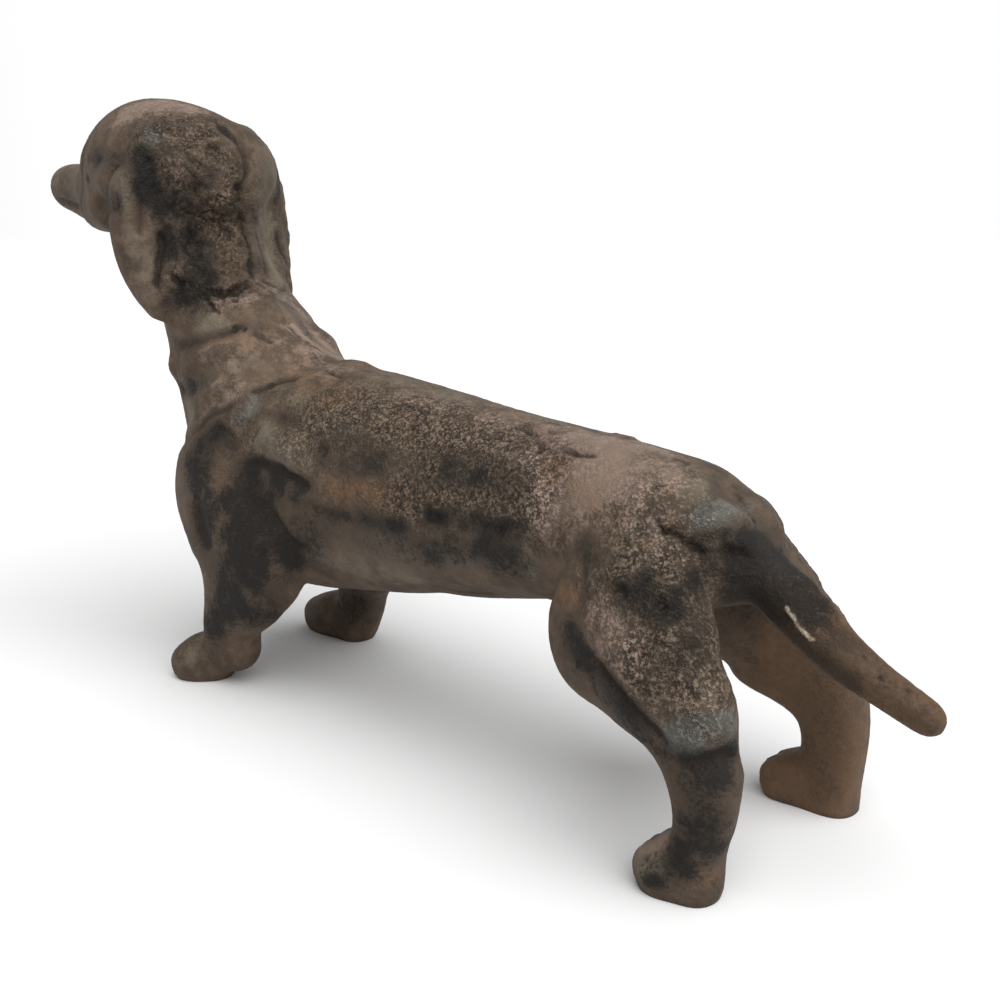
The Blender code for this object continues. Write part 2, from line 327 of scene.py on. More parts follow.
def fused(rolls):
    """The outer skin of overlapping closed rolls, cut at z = 0: points in mm, and faces."""
    offsets = np.cumsum([0] + [len(points) for points, _ in rolls])
    faces = [[v + int(start) for v in face] for (_, fs), start in zip(rolls, offsets) for face in fs]
    mesh = bpy.data.meshes.new("clay")
    mesh.from_pydata((np.vstack([points for points, _ in rolls]) * MM).tolist(), [], faces)
    body = added("clay", mesh)
    skin = body.modifiers.new("one_skin", "REMESH")
    skin.mode, skin.voxel_size = "VOXEL", GRAIN_STEP * MM
    soft = body.modifiers.new("thumbed_corners", "SMOOTH")
    soft.factor, soft.iterations = 0.5, INNER_CORNER_PASSES
    bpy.context.view_layer.update()
    ready = body.evaluated_get(bpy.context.evaluated_depsgraph_get())
    build = bmesh.new()
    build.from_mesh(ready.to_mesh())
    ready.to_mesh_clear()
    whole = build.verts[:] + build.edges[:] + build.faces[:]
    cut = bmesh.ops.bisect_plane(
        build, geom=whole, dist=1e-6, plane_co=(0, 0, 0), plane_no=(0, 0, 1), clear_inner=True
    )
    rim = [part for part in cut["geom_cut"] if isinstance(part, bmesh.types.BMEdge)]
    bmesh.ops.holes_fill(build, edges=rim, sides=0)
    bmesh.ops.triangulate(build, faces=[f for f in build.faces if len(f.verts) > 4])
    bmesh.ops.recalc_face_normals(build, faces=build.faces)
    build.to_mesh(mesh)
    build.free()
    bpy.data.objects.remove(body)
    return mesh


skin = fused(clay)
at = np.empty(len(skin.vertices) * 3)
skin.vertices.foreach_get("co", at)
at = at.reshape(-1, 3) / MM
print("fine skin:", len(skin.vertices), "points,", len(skin.polygons), "faces")

# %% [markdown]
# ## Tools that carve
# Relief is carved by moving each point along the direction in which the skin faces there. Three tools
# do nearly all of it: a stroke, which is a groove or a ridge along a path; a dab, which is a round
# bump or hollow; and noise, which is the grain of sand. All of them work on the whole array of points
# at once and return how far each point moves.

# %% Directions, and places on the skin
def facing(points):
    """Unit directions in which the skin faces at its points."""
    skin.vertices.foreach_set("co", (points * MM).ravel())
    skin.update()
    out = np.empty(len(points) * 3)
    skin.vertices.foreach_get("normal", out)
    return out.reshape(-1, 3)


def sort_skin():
    """The order of the points along x, so that a tool looks only at the slice that it can reach."""
    global by_x, sorted_x
    by_x = np.argsort(at[:, 0])
    sorted_x = at[by_x, 0]


def within(low, high):
    """Numbers of the points inside a box."""
    first, last = np.searchsorted(sorted_x, (low[0], high[0]))
    slab = by_x[first:last]
    return slab[((at[slab, 1:] > low[1:]) & (at[slab, 1:] < high[1:])).all(axis=1)]


def snapped(path):
    """Each place of a path moved to the nearest point of the skin."""
    found = []
    for place in np.asarray(path, float):
        near = within(place - 6, place + 6)
        found.append(at[near[((at[near] - place) ** 2).sum(axis=1).argmin()]] if len(near) else place)
    return np.array(found)


sort_skin()
print("nearest point to the tail's root:", snapped([(60, 0, 50)])[0].round(1))

# %% The carving stroke
def stroke(path, width, height=1.0, ends=0.0):
    """Height times a bell curve of the distance to a smooth path on the skin. It fades out over a
    share of the path at both ends. A path of one place makes a round dab."""
    path = list(path) if len(path) > 1 else [path[0], np.add(path[0], (0.01, 0, 0))]
    line = snapped(through(path, 4))
    reach = 2.4 * width
    near = within(line.min(axis=0) - reach, line.max(axis=0) + reach)
    step = line[1:] - line[:-1]
    length = np.maximum(np.linalg.norm(step, axis=1), 1e-6)
    away = at[near, None] - line[None, :-1]
    t = np.clip((away * step).sum(axis=-1) / length**2, 0, 1)
    gap = np.linalg.norm(away - t[..., None] * step, axis=-1)
    k = gap.argmin(axis=1)
    rows = np.arange(len(near))
    gap, t = gap[rows, k], t[rows, k]
    bell = np.exp(-((gap / width) ** 2))
    if ends and length.sum() > 2 * width:
        along = (np.cumsum(length)[k] - length[k] * (1 - t)) / length.sum()
        fade = np.clip(np.minimum(along, 1 - along) / ends, 0, 1)
        bell *= fade * (2 - fade)
    lift = np.zeros(len(at))
    lift[near] = height * bell
    return lift


FOLD_GAIN = 1.3    # all folds are cut this much deeper than their rows say
PLAINER = 0.7      # the hidden side has the same folds, but lower
CUT_WIDTH = 0.75   # narrower strokes are cuts, made by accident on one side only


def carved(rows, sides="both"):
    """Adds up strokes of (height, width, path). Folds go on both sides, cuts only where they are."""
    lift = np.zeros(len(at))
    for height, width, path in rows:
        height *= FOLD_GAIN if width > CUT_WIDTH else 1.0
        lift += stroke(path, width, height, ends=0.15)
        if sides == "both" and width > CUT_WIDTH:
            lift += stroke(mirrored(path), width, PLAINER * height, ends=0.15)
    return lift


print("points that a stroke 1 mm wide moves:", int((stroke([(0, 0, 60), (10, 0, 60)], 1.0) > 0).sum()))

# %% Noise, pits and grain
def cell_number(cell, seed):
    """A fixed number from 0 to 1 for each whole-number cell: its three counts are multiplied by
    large odd numbers, combined bit by bit, and stirred with shifts."""
    c = cell.astype(np.int64).astype(np.uint32)
    h = (
        c[..., 0] * np.uint32(2376512323) ^ c[..., 1] * np.uint32(3625334849)
        ^ c[..., 2] * np.uint32(3407524639) ^ np.uint32(seed * 2654435761 % 2**32)
    )
    for shift, odd in ((15, 739982445), (12, 695872825)):
        h = (h ^ (h >> np.uint32(shift))) * np.uint32(odd)
    return (h ^ (h >> np.uint32(15))) / 4294967295.0


CORNERS = np.array([(i, j, k) for i in (0, 1) for j in (0, 1) for k in (0, 1)])
AROUND = np.array([(i, j, k) for i in (-1, 0, 1) for j in (-1, 0, 1) for k in (-1, 0, 1)])


def clouds(points, size, seed):
    """Value noise from -1 to 1: random numbers on a lattice of this size, blended smoothly."""
    place = points / size + 0.37 * seed
    low = np.floor(place)
    t = place - low
    t = t**3 * (t * (6 * t - 15) + 10)
    total = 0
    for corner in CORNERS:
        weight = np.where(corner == 1, t, 1 - t).prod(axis=1)
        total = total + weight * cell_number(low + corner, seed)
    return 2 * total - 1


def grain(points, size, octaves, seed, gain=0.55):
    """Clouds added up, each octave half the size and a share of the height of the one before."""
    heights = gain ** np.arange(octaves)
    layers = [h * clouds(points, size / 2**i, seed + i) for i, h in enumerate(heights)]
    return sum(layers) / heights.sum()


def spots(points, spacing, radius, share, seed):
    """Round spots from 0 at the rim to 1 in the middle: one in a share of the cells of a lattice,
    each at a random place of its cell, and 0.55 to 1.45 times the radius in size."""
    low = np.floor(points / spacing)
    best = np.zeros(len(points))
    for step in AROUND:
        cell = low + step
        middle = cell + np.stack([cell_number(cell, seed + i) for i in range(3)], axis=1)
        size = radius * (0.55 + 0.9 * cell_number(cell, seed + 3))
        gap = np.linalg.norm(points - middle * spacing, axis=1) / size
        here = cell_number(cell, seed + 4) < share
        best = np.maximum(best, np.where(here, np.clip(1 - gap**2, 0, 1), 0))
    return best


def ramp(value, low, high):
    """0 below low, 1 above high, and a smooth step between them."""
    t = np.clip((value - low) / (high - low), 0, 1)
    return t * t * (3 - 2 * t)


print("the number of one cell:", round(float(cell_number(np.array([[1, 2, 3]]), 4)[0]), 3))

# %% [markdown]
# ## Folds of the head and the ear
# The brow is a dome over the eye, which is no more than a small hollow. The cheek ends in a sharp
# edge, and the slender muzzle comes out from behind it. The ear shows ridges like strands of hair at
# its front, a smooth band beside them, and a notched lower edge. Each row below is one stroke of the
# modelling tool: how far it raises the skin (or cuts into it, below zero), how wide it is, and its path.

# %% Head and ear
head_relief = [
    (0.6, 1.0, [(-77, -19.5, 100), (-76, -19.5, 97), (-75, -19.5, 93.5), (-74.5, -20, 88.5),
     (-75, -20, 84.5)]),
    (-0.5, 0.8, [(-74, -18, 98), (-73, -18.5, 93), (-73.5, -18.5, 87)]),
    (0.35, 0.8, [(-75.5, -15.5, 105.5), (-73.5, -17.5, 100), (-73, -18, 94)]),
    (-0.9, 0.8, [(-70.5, -15.5, 88.5), (-70.5, -15.5, 84.5), (-70.5, -16.5, 80), (-70.5, -17.5, 77)]),
    (0.4, 0.6, [(-69.5, -16, 81.5), (-68, -15, 81), (-66.5, -12.5, 79.5)]),
    (-0.5, 0.8, [(-68, -15.5, 79.5), (-67, -14, 79), (-66, -12.5, 77.5)]),
    (-0.7, 0.5, [(-64, -10, 76.5), (-63, -10, 74.5), (-61.5, -10, 73.5), (-58.5, -10.5, 72.5)]),
    (-0.5, 0.5, [(-60.5, -9, 74), (-59.5, -7.5, 74.5), (-59, -6, 75.5)]),
    (-0.8, 0.8, [(-64, -10, 77), (-62, -8, 76.5), (-60.5, -5.5, 77), (-62.5, -1, 78)]),
    (-0.35, 0.6, [(-64.5, 1, 93.5), (-68, 5.5, 89.5), (-68, 6.5, 85.5), (-64.5, 5, 81.5),
     (-61, 4.5, 78)]),
    (0.3, 0.6, [(-65.5, 3.5, 92.5), (-69, 8, 89), (-68, 8.5, 84.5), (-64, 7, 79.5), (-61.5, 7, 77)]),
    (-0.5, 1.3, [(-98, -14.5, 103), (-91.5, -15.5, 102.5), (-78.5, -19.5, 102), (-76, -18, 102.5)]),
    (-0.5, 1.3, [(-96.5, -14, 94), (-78.5, -21, 92.5), (-77, -20, 94)]),
    (0.5, 3.3, [(-90.5, -14.5, 106.5), (-86, -14, 107)]),
    (0.4, 2.1, [(-98, -14, 98.5), (-78.5, -20.5, 97.5)]),
    # the brow, the cheek's edge, the eye, the mouth and the nostril
    (1.6, 5.5, [(-86, -15.5, 98)]),
    (-0.6, 2.0, [(-102, -9, 106), (-105, -11, 102), (-107.5, -11, 97), (-109, -10.5, 92),
     (-110, -9.5, 88)]),
    (-0.8, 0.9, [(-99, -14, 99)]),
    (-0.5, 0.8, [(-134, -4, 95.5), (-128, -6, 94.5), (-120, -7, 93), (-112, -9.5, 91),
     (-106, -11.5, 88)]),
    (-0.6, 0.9, [(-135.5, -2.3, 99.5)]),
]
# the right ear lies close, so its front edge is a groove and a ridge of its own
right_ear_front = [
    (-1.1, 1.3, [(-82, 12, 106), (-81.5, 16, 100), (-80.5, 17, 94), (-79.5, 16.5, 88), (-78, 14, 81)]),
    (0.6, 1.3, [(-78, 15, 105), (-77.5, 18.5, 99), (-76.5, 19, 92), (-75.5, 19, 85), (-74, 17, 78)]),
]
form = carved(head_relief) + carved(right_ear_front, sides="one")
print("head and ear, deepest and highest in mm:", form.min().round(2), form.max().round(2))

# %% [markdown]
# ## The parting between the ears
# The two ears meet at the nape in a ragged groove. It runs on down the neck to the withers.

# %% Parting
parting = [
    (-0.6, 0.7, [(-72.5, -1, 110), (-70, -1.5, 108.5), (-67, -1.5, 106), (-65.5, 0, 104.5),
     (-65, 0.5, 102), (-64.5, 0.5, 99.5), (-64, -1, 96.5), (-65.5, -0.5, 93.5)]),
    (-0.6, 0.6, [(-65.5, 0, 93), (-67, 1.5, 90), (-67.5, 2, 87), (-66.5, 2, 83.5), (-62, -1, 78)]),
]
form += carved(parting, sides="one")
print("with the parting:", form.min().round(2))

# %% [markdown]
# ## Folds of the neck, and the shoulder
# Loose skin lies on a dachshund's neck in rolls that run down and forward from the nape to the
# throat. The shoulder blade shows as a flat bulge with a hollow behind it, and a deep crease parts
# the elbow from the ribs.

# %% Neck and shoulder
neck_relief = [
    (-0.55, 1.4, [(-69, -14, 66), (-63.5, -14, 66.5), (-59, -13, 68), (-56.5, -11, 69),
     (-54.5, -9, 69.5)]),
    (-0.6, 0.6, [(-55.5, -10, 69.5), (-55, -8.5, 70), (-53.5, -8, 69)]),
    (-0.6, 0.6, [(-52.5, -7.5, 68.5), (-51, -6.5, 68), (-48.5, -6, 67.5)]),
    (0.9, 2.6, [(-66, -16, 61.5), (-60.5, -16.5, 63), (-55.5, -15, 65.5), (-52, -12, 67),
     (-50, -8, 67.5)]),
    (-0.3, 1.5, [(-51.5, -13.5, 64), (-48.5, -11.5, 64.5), (-47, -9.5, 65.5)]),
    (-0.4, 0.6, [(-46.5, -7, 65.5), (-45.5, -6.5, 65), (-44.5, -6.5, 64), (-43.5, -4, 64)]),
    (-0.4, 0.6, [(-55.5, -15.5, 61), (-53.5, -15, 62), (-50.5, -13.5, 61)]),
    (-0.7, 1.6, [(-70.5, -13, 57), (-63.5, -15.5, 58), (-59, -16, 59.5)]),
    (0.6, 1.7, [(-57.5, -18, 56), (-54, -17, 58), (-50.5, -15, 59.5), (-48, -13, 60.5)]),
    (-0.8, 0.6, [(-46.5, -13, 58), (-45, -11.5, 59), (-43.5, -10, 60), (-41.5, -8.5, 61),
     (-37.5, -8.5, 61.5)]),
    (-0.55, 1.2, [(-59, -18.5, 50), (-56, -18.5, 51.5), (-53.5, -17, 54), (-50, -16, 55.5),
     (-48, -14.5, 57.5)]),
    (-0.3, 0.6, [(-50.5, -18, 52.5), (-47.5, -17.5, 51.5), (-45.5, -17.5, 50.5)]),
    (0.6, 2.6, [(-39, -17, 52.5), (-30.5, -18.5, 51), (-26, -18, 49.5)]),
    (-0.35, 1.6, [(-35, -15.5, 55), (-31.5, -15, 55), (-29, -15, 55)]),
    (-0.3, 1.3, [(-25.5, -15, 54.5), (-22, -16, 52.5), (-19.5, -17, 50.5)]),
    (-0.8, 1.1, [(-40.5, -18, 47), (-36, -18.5, 47.5), (-30.5, -18.5, 47.5), (-27, -18, 46),
     (-22, -18.5, 45)]),
    (-0.6, 0.6, [(-34, -4.5, 63), (-31, -5, 62.5), (-28, -5, 62), (-28, -3.5, 63)]),
    (-0.3, 0.6, [(-40, -4.5, 62.5), (-35, -6, 63)]),
    (-0.5, 0.6, [(-53, -0.5, 71), (-51, 0, 69.5), (-48.5, 0.5, 67.5), (-46, 2.5, 65.5),
     (-44.5, 5, 64.5), (-45, 8, 63)]),
    (-0.3, 0.6, [(-60.5, -0.5, 77), (-58, -1, 75.5), (-56, -1, 74)]),
    (0.3, 0.6, [(-53, -0.5, 71.5)]),
    (-0.6, 0.9, [(-33, -19, 43), (-34, -18, 39.5), (-32.5, -17.5, 37), (-30.5, -16.5, 34.5)]),
    (0.4, 1.9, [(-49.5, -19.5, 47), (-45, -19, 45), (-41.5, -19.5, 42.5)]),
    # the throat, the breast, and the crease round the elbow
    (0.9, 2.6, [(-78, -8, 60), (-74, -11, 61), (-70, -14, 62)]),
    (-0.4, 1.5, [(-66, -17, 47), (-62, -18.5, 48), (-57, -19.5, 49.5)]),
    (0.5, 3.0, [(-37, -20, 43), (-36.5, -21, 37), (-35, -21, 31)]),
    (-0.9, 2.4, [(-53, -20, 38), (-51, -20, 34), (-49, -19, 29)]),
    (0.5, 1.6, [(-31, -18.5, 42), (-27, -18, 43.5), (-22, -18, 42)]),
    (-0.6, 0.9, [(-30.5, -16.5, 34.5), (-28, -16.5, 33), (-25, -16, 33.5)]),
]
# the right shoulder blade lifts the outline behind the nape
right_withers = [
    (0.7, 2.6, [(-44.5, 5, 64.5), (-38, 4, 63.5), (-31, 3, 63.3)]),
]
form += carved(neck_relief) + carved(right_withers, sides="one")
print("with the neck:", form.min().round(2), form.max().round(2))

# %% [markdown]
# ## Back, flank and hind quarters
# The ribs make one smooth barrel, with a shallow crease low on the side. Knocks left short cuts in the
# loin. The hip stands out as a smooth bump above a jagged crease, and the root of the tail lies in a
# hollow below it. Under the hock the shank steps in, and the instep is a flat facet.

# %% Flank, loin, hip, thigh and tail
flank_relief = [
    (-0.5, 0.7, [(-23.5, -18.5, 42), (-20.5, -18, 41.5), (-13, -17.5, 42)]),
    (-0.25, 0.4, [(0.5, -11, 30), (5.5, -9, 29), (13.5, -8.5, 30.5)]),
    (-0.6, 0.5, [(14, -5, 58), (15, -4.5, 58), (17, -5, 57.5), (19, -5.5, 57.5)]),
    (-0.5, 0.4, [(20, -3.5, 58), (21, -3.5, 57.5)]),
    (-0.5, 0.4, [(19.5, -6.5, 57), (21, -7, 56), (22, -8.5, 56), (22, -7, 56.5)]),
    (-0.4, 1.3, [(1, -16.5, 42), (11, -15, 43.5), (21.5, -14.5, 44.5)]),
]
rump_relief = [
    (-0.5, 0.6, [(25, -7, 56.5), (26, -6.5, 55.5), (28.5, -7, 55.5), (30.5, -6.5, 56), (32, -6.5, 56)]),
    (0.45, 0.8, [(25, -6, 57), (27.5, -6, 56.5), (29.5, -5.5, 57), (30, -3.5, 57)]),
    (-0.35, 0.4, [(36.5, -8, 55), (38, -7.5, 54.5), (39.5, -8, 54.5)]),
    (-0.4, 0.3, [(42.5, -14, 47), (43.5, -14.5, 46.5), (45, -15, 46)]),
    (-0.7, 0.4, [(46, -11.5, 50), (47, -11.5, 49), (47.5, -11, 48.5)]),
    (-1, 0.6, [(47, -11.5, 48), (48, -11, 48.5), (49, -10.5, 48), (50.5, -10, 47), (51.5, -9.5, 46.5),
     (52.5, -9, 46.5)]),
    (0.9, 2.5, [(52, -8.5, 50.5), (52.5, -5, 51.5)]),
    (-0.7, 0.6, [(50.5, -10, 47.5), (52, -9, 47.5), (54, -8.5, 48.5), (55, -7, 49)]),
    (-0.9, 1.2, [(54, -8, 47), (55.5, -6.5, 45.5), (56.5, -5, 46)]),
    (0.4, 0.4, [(56, -7, 47.5), (56, -6.5, 47)]),
    (-0.5, 0.4, [(50, 3, 52.5), (53, 1, 51.5), (55, -0.5, 50.5), (56.5, -1.5, 49.5)]),
    (0.5, 1.0, [(55.5, -3.5, 50)]),
    (-0.3, 0.9, [(30.5, -12, 51.5), (30.5, -14, 47.5), (28.5, -14, 43.5)]),
    (-0.25, 0.6, [(37, -16.5, 42.5), (39.5, -19, 40), (40, -20, 37)]),
    (-0.5, 0.8, [(44, -18.5, 42), (47.5, -19, 41)]),
    (-0.5, 0.8, [(51, -17.5, 42), (52.5, -18.5, 40)]),
    (0.4, 0.4, [(51, -16, 43.5), (51, -17.5, 42), (51, -19, 40)]),
    (-0.6, 0.7, [(48.5, -17, 43.5), (49.5, -16.5, 44), (51, -14.5, 44.5)]),
    (0.5, 2.2, [(44.5, -21.5, 36.5), (47.5, -22, 34.5)]),
]
leg_relief = [
    (-0.5, 0.8, [(42, -21.5, 32.5), (45.5, -21.5, 30.5), (49.5, -22, 27.5), (53, -22, 25.5),
     (56.5, -22, 23)]),
    (-0.8, 1.1, [(57.5, -22, 21), (59.5, -21.5, 21), (62.5, -20, 22), (63.5, -17, 22.5)]),
    (0.45, 1.4, [(58.5, -22, 24.5), (61.5, -20.5, 25), (63, -17.5, 26)]),
    (0.4, 0.5, [(57, -20.5, 10.5), (57, -21.5, 7.5), (55.5, -22.5, 5), (53.5, -22.5, 2.5)]),
    (-0.3, 1.1, [(55.5, -20, 9), (55, -21.5, 6.5), (53, -22.5, 4)]),
]
# the root of the tail, the flash and the pits, on one side only
far_relief = [
    (0.7, 3.0, [(65, 1, 42.5), (68, 0.5, 40)]),
    (0.5, 0.3, [(62.5, -4, 39), (66.5, -3.5, 35)]),
    (-0.3, 0.3, [(73, -0.5, 34)]),
    (-0.3, 0.3, [(75.5, -1, 31.5)]),
    (-0.3, 0.3, [(75.5, 2, 33)]),
    (-0.3, 0.3, [(79, 0.5, 30.5)]),
    (0.3, 0.8, [(62, -2, 43), (63.5, -2, 42)]),
]
for rows in (flank_relief, rump_relief, leg_relief):
    form += carved(rows)
form += carved(far_relief, sides="one")
print("with the hind quarters:", form.min().round(2), form.max().round(2))

# %% [markdown]
# ## Paring down
# The imported solid is a little too stout in a few places, so the skin is pared down there. This is kept
# apart from the folds, because the finish paints shade into hollows, and a pared place is no hollow.

# %% Trims of the outline
TAIL_TRIM = 0.9    # the tail's free end is this much slimmer all round, in mm
BELLY_TRIM = 0.8
pared = [
    # depth and width in mm, and path: the nape, the right ear's rear edge, the rump
    (1.1, 3.2, [(-50, 6.5, 69), (-47.5, 7.5, 66.5)]),
    (1.9, 4.5, [(-69, 13, 93), (-67, 13, 85)]),
    (1.2, 3.4, [(50, 2, 53.5), (55, 1.5, 51), (60, 1, 47.5), (65, 0.5, 42.5), (70, 0, 38)]),
]
x, z = at[:, 0], at[:, 2]
above_legs = ramp(z + 0.85 * (x - 67), 20, 26)   # the tail slopes down past the legs
trim = TAIL_TRIM * ramp(x, 66, 76) * above_legs
trim += BELLY_TRIM * ramp(x, -12, -2) * ramp(x, 28, 20) * ramp(z, 34, 30)
for depth, width, path in pared:
    trim += stroke(path, width, depth)
print("pared down by up to", trim.max().round(2), "mm")

# %% [markdown]
# ## Toes
# The paws are little more than rounded wedges. Three short grooves on the front of each part the toes.

# %% Toe grooves
toe_tips = [
    (FORE_X - 5.0, -HALF_TRACK - 1.3, 11.0), (FORE_X - 7.5, HALF_TRACK, 10.5),
    (HIND_X - 4.2, -HALF_TRACK - 0.3, 9.0), (HIND_X - 5.6, HALF_TRACK + 0.2, 9.0),
]
TOE_FAN = 0.45                      # angle between grooves, in radians
GROOVE_WIDTH, GROOVE_DEPTH = 0.7, 0.5
groove = [(0.15, 0.35, 8.0), (0.5, 0.5, 5.0), (0.75, 0.6, 1.0)]   # shares of the reach, and height
for toe_x, toe_y, reach in toe_tips:
    for fan in (-TOE_FAN, 0.0, TOE_FAN):
        forward, sideways = reach * np.cos(fan), reach * np.sin(fan)
        path = [(toe_x - f * forward, toe_y + g * sideways, up) for f, g, up in groove]
        form += stroke(path, GROOVE_WIDTH, -GROOVE_DEPTH)
print("with the toes:", form.min().round(2), form.max().round(2))

# %% Move the skin by the carved forms
on_ground = ramp(at[:, 2], 0.05, 1.2)
at = at + ((form - trim) * on_ground)[:, None] * facing(at)
sort_skin()
print("carved box in mm:", at.min(axis=0).round(1), at.max(axis=0).round(1))

# %% [markdown]
# ## The finish, mapped on the skin
# Old iron shows blackish patches where the dark foundry skin is left, brown where it has worn off, sandy
# where hands rub, olive where the skin is smooth, grey on the hardest-worn bumps, and orange touches of
# rust. Shade and light are painted in too: dark in the creases and under the belly, sandy highlights
# along the top, a grey sheen on the worn bumps, and shade under the tail and on the leg beside it, with
# dirt on the tail. The sand was coarse in places. Each of these is one number per point. It is brushed
# on with the same stroke that carved the folds, and its edges are made ragged with noise.

# %% Where the sand was coarse
# Each row is one stroke of the brush: strength, width in mm, path.
coarse_marks = [
    # the neck and the shoulder
    (0.4, 3.4, [(-52, -18, 50), (-42, -17.5, 50)]),
    # the flank and the back
    (0.2, 5.0, [(-30, -14, 56), (-12, -13, 56), (10, -12, 55), (25, -11, 53)]),
    (0.2, 4.0, [(-16, -17, 46), (4, -16, 47), (22, -14.5, 47)]),
    (0.9, 5.2, [(-16, -12, 57.5), (-3.5, -9.5, 58), (9.5, -11, 55), (20, -13, 51)]),
    (0.8, 2.9, [(-1, -16.5, 45), (13, -14.5, 48), (23, -14, 48.5)]),
    (0.5, 3.5, [(-26.5, -17, 52.5), (-25, -11, 59.5)]),
    (0.8, 2.7, [(24, -13, 51)]),
    # the loin, the hip and the thigh
    (0.3, 3.0, [(48, -13, 48)]),
    (0.9, 5.0, [(54, -21, 36.5), (57.5, -17.5, 36.5)]),
    (0.8, 4.4, [(44.5, -17, 44.5), (52, -12, 44)]),
    (0.5, 2.8, [(42.5, -9.5, 53.5), (48, -6, 53.5)]),
    (0.9, 3.5, [(53.5, -21.5, 33), (57.5, -20.5, 33)]),
    # the hock, the shank and the paw
    (0.4, 1.8, [(59.5, -21.5, 25), (63, -18.5, 26)]),
    # the tail and the right hind leg
    (0.5, 2.2, [(66, 0, 42), (70, -0.5, 37)]),
]
print("coarse marks:", len(coarse_marks))
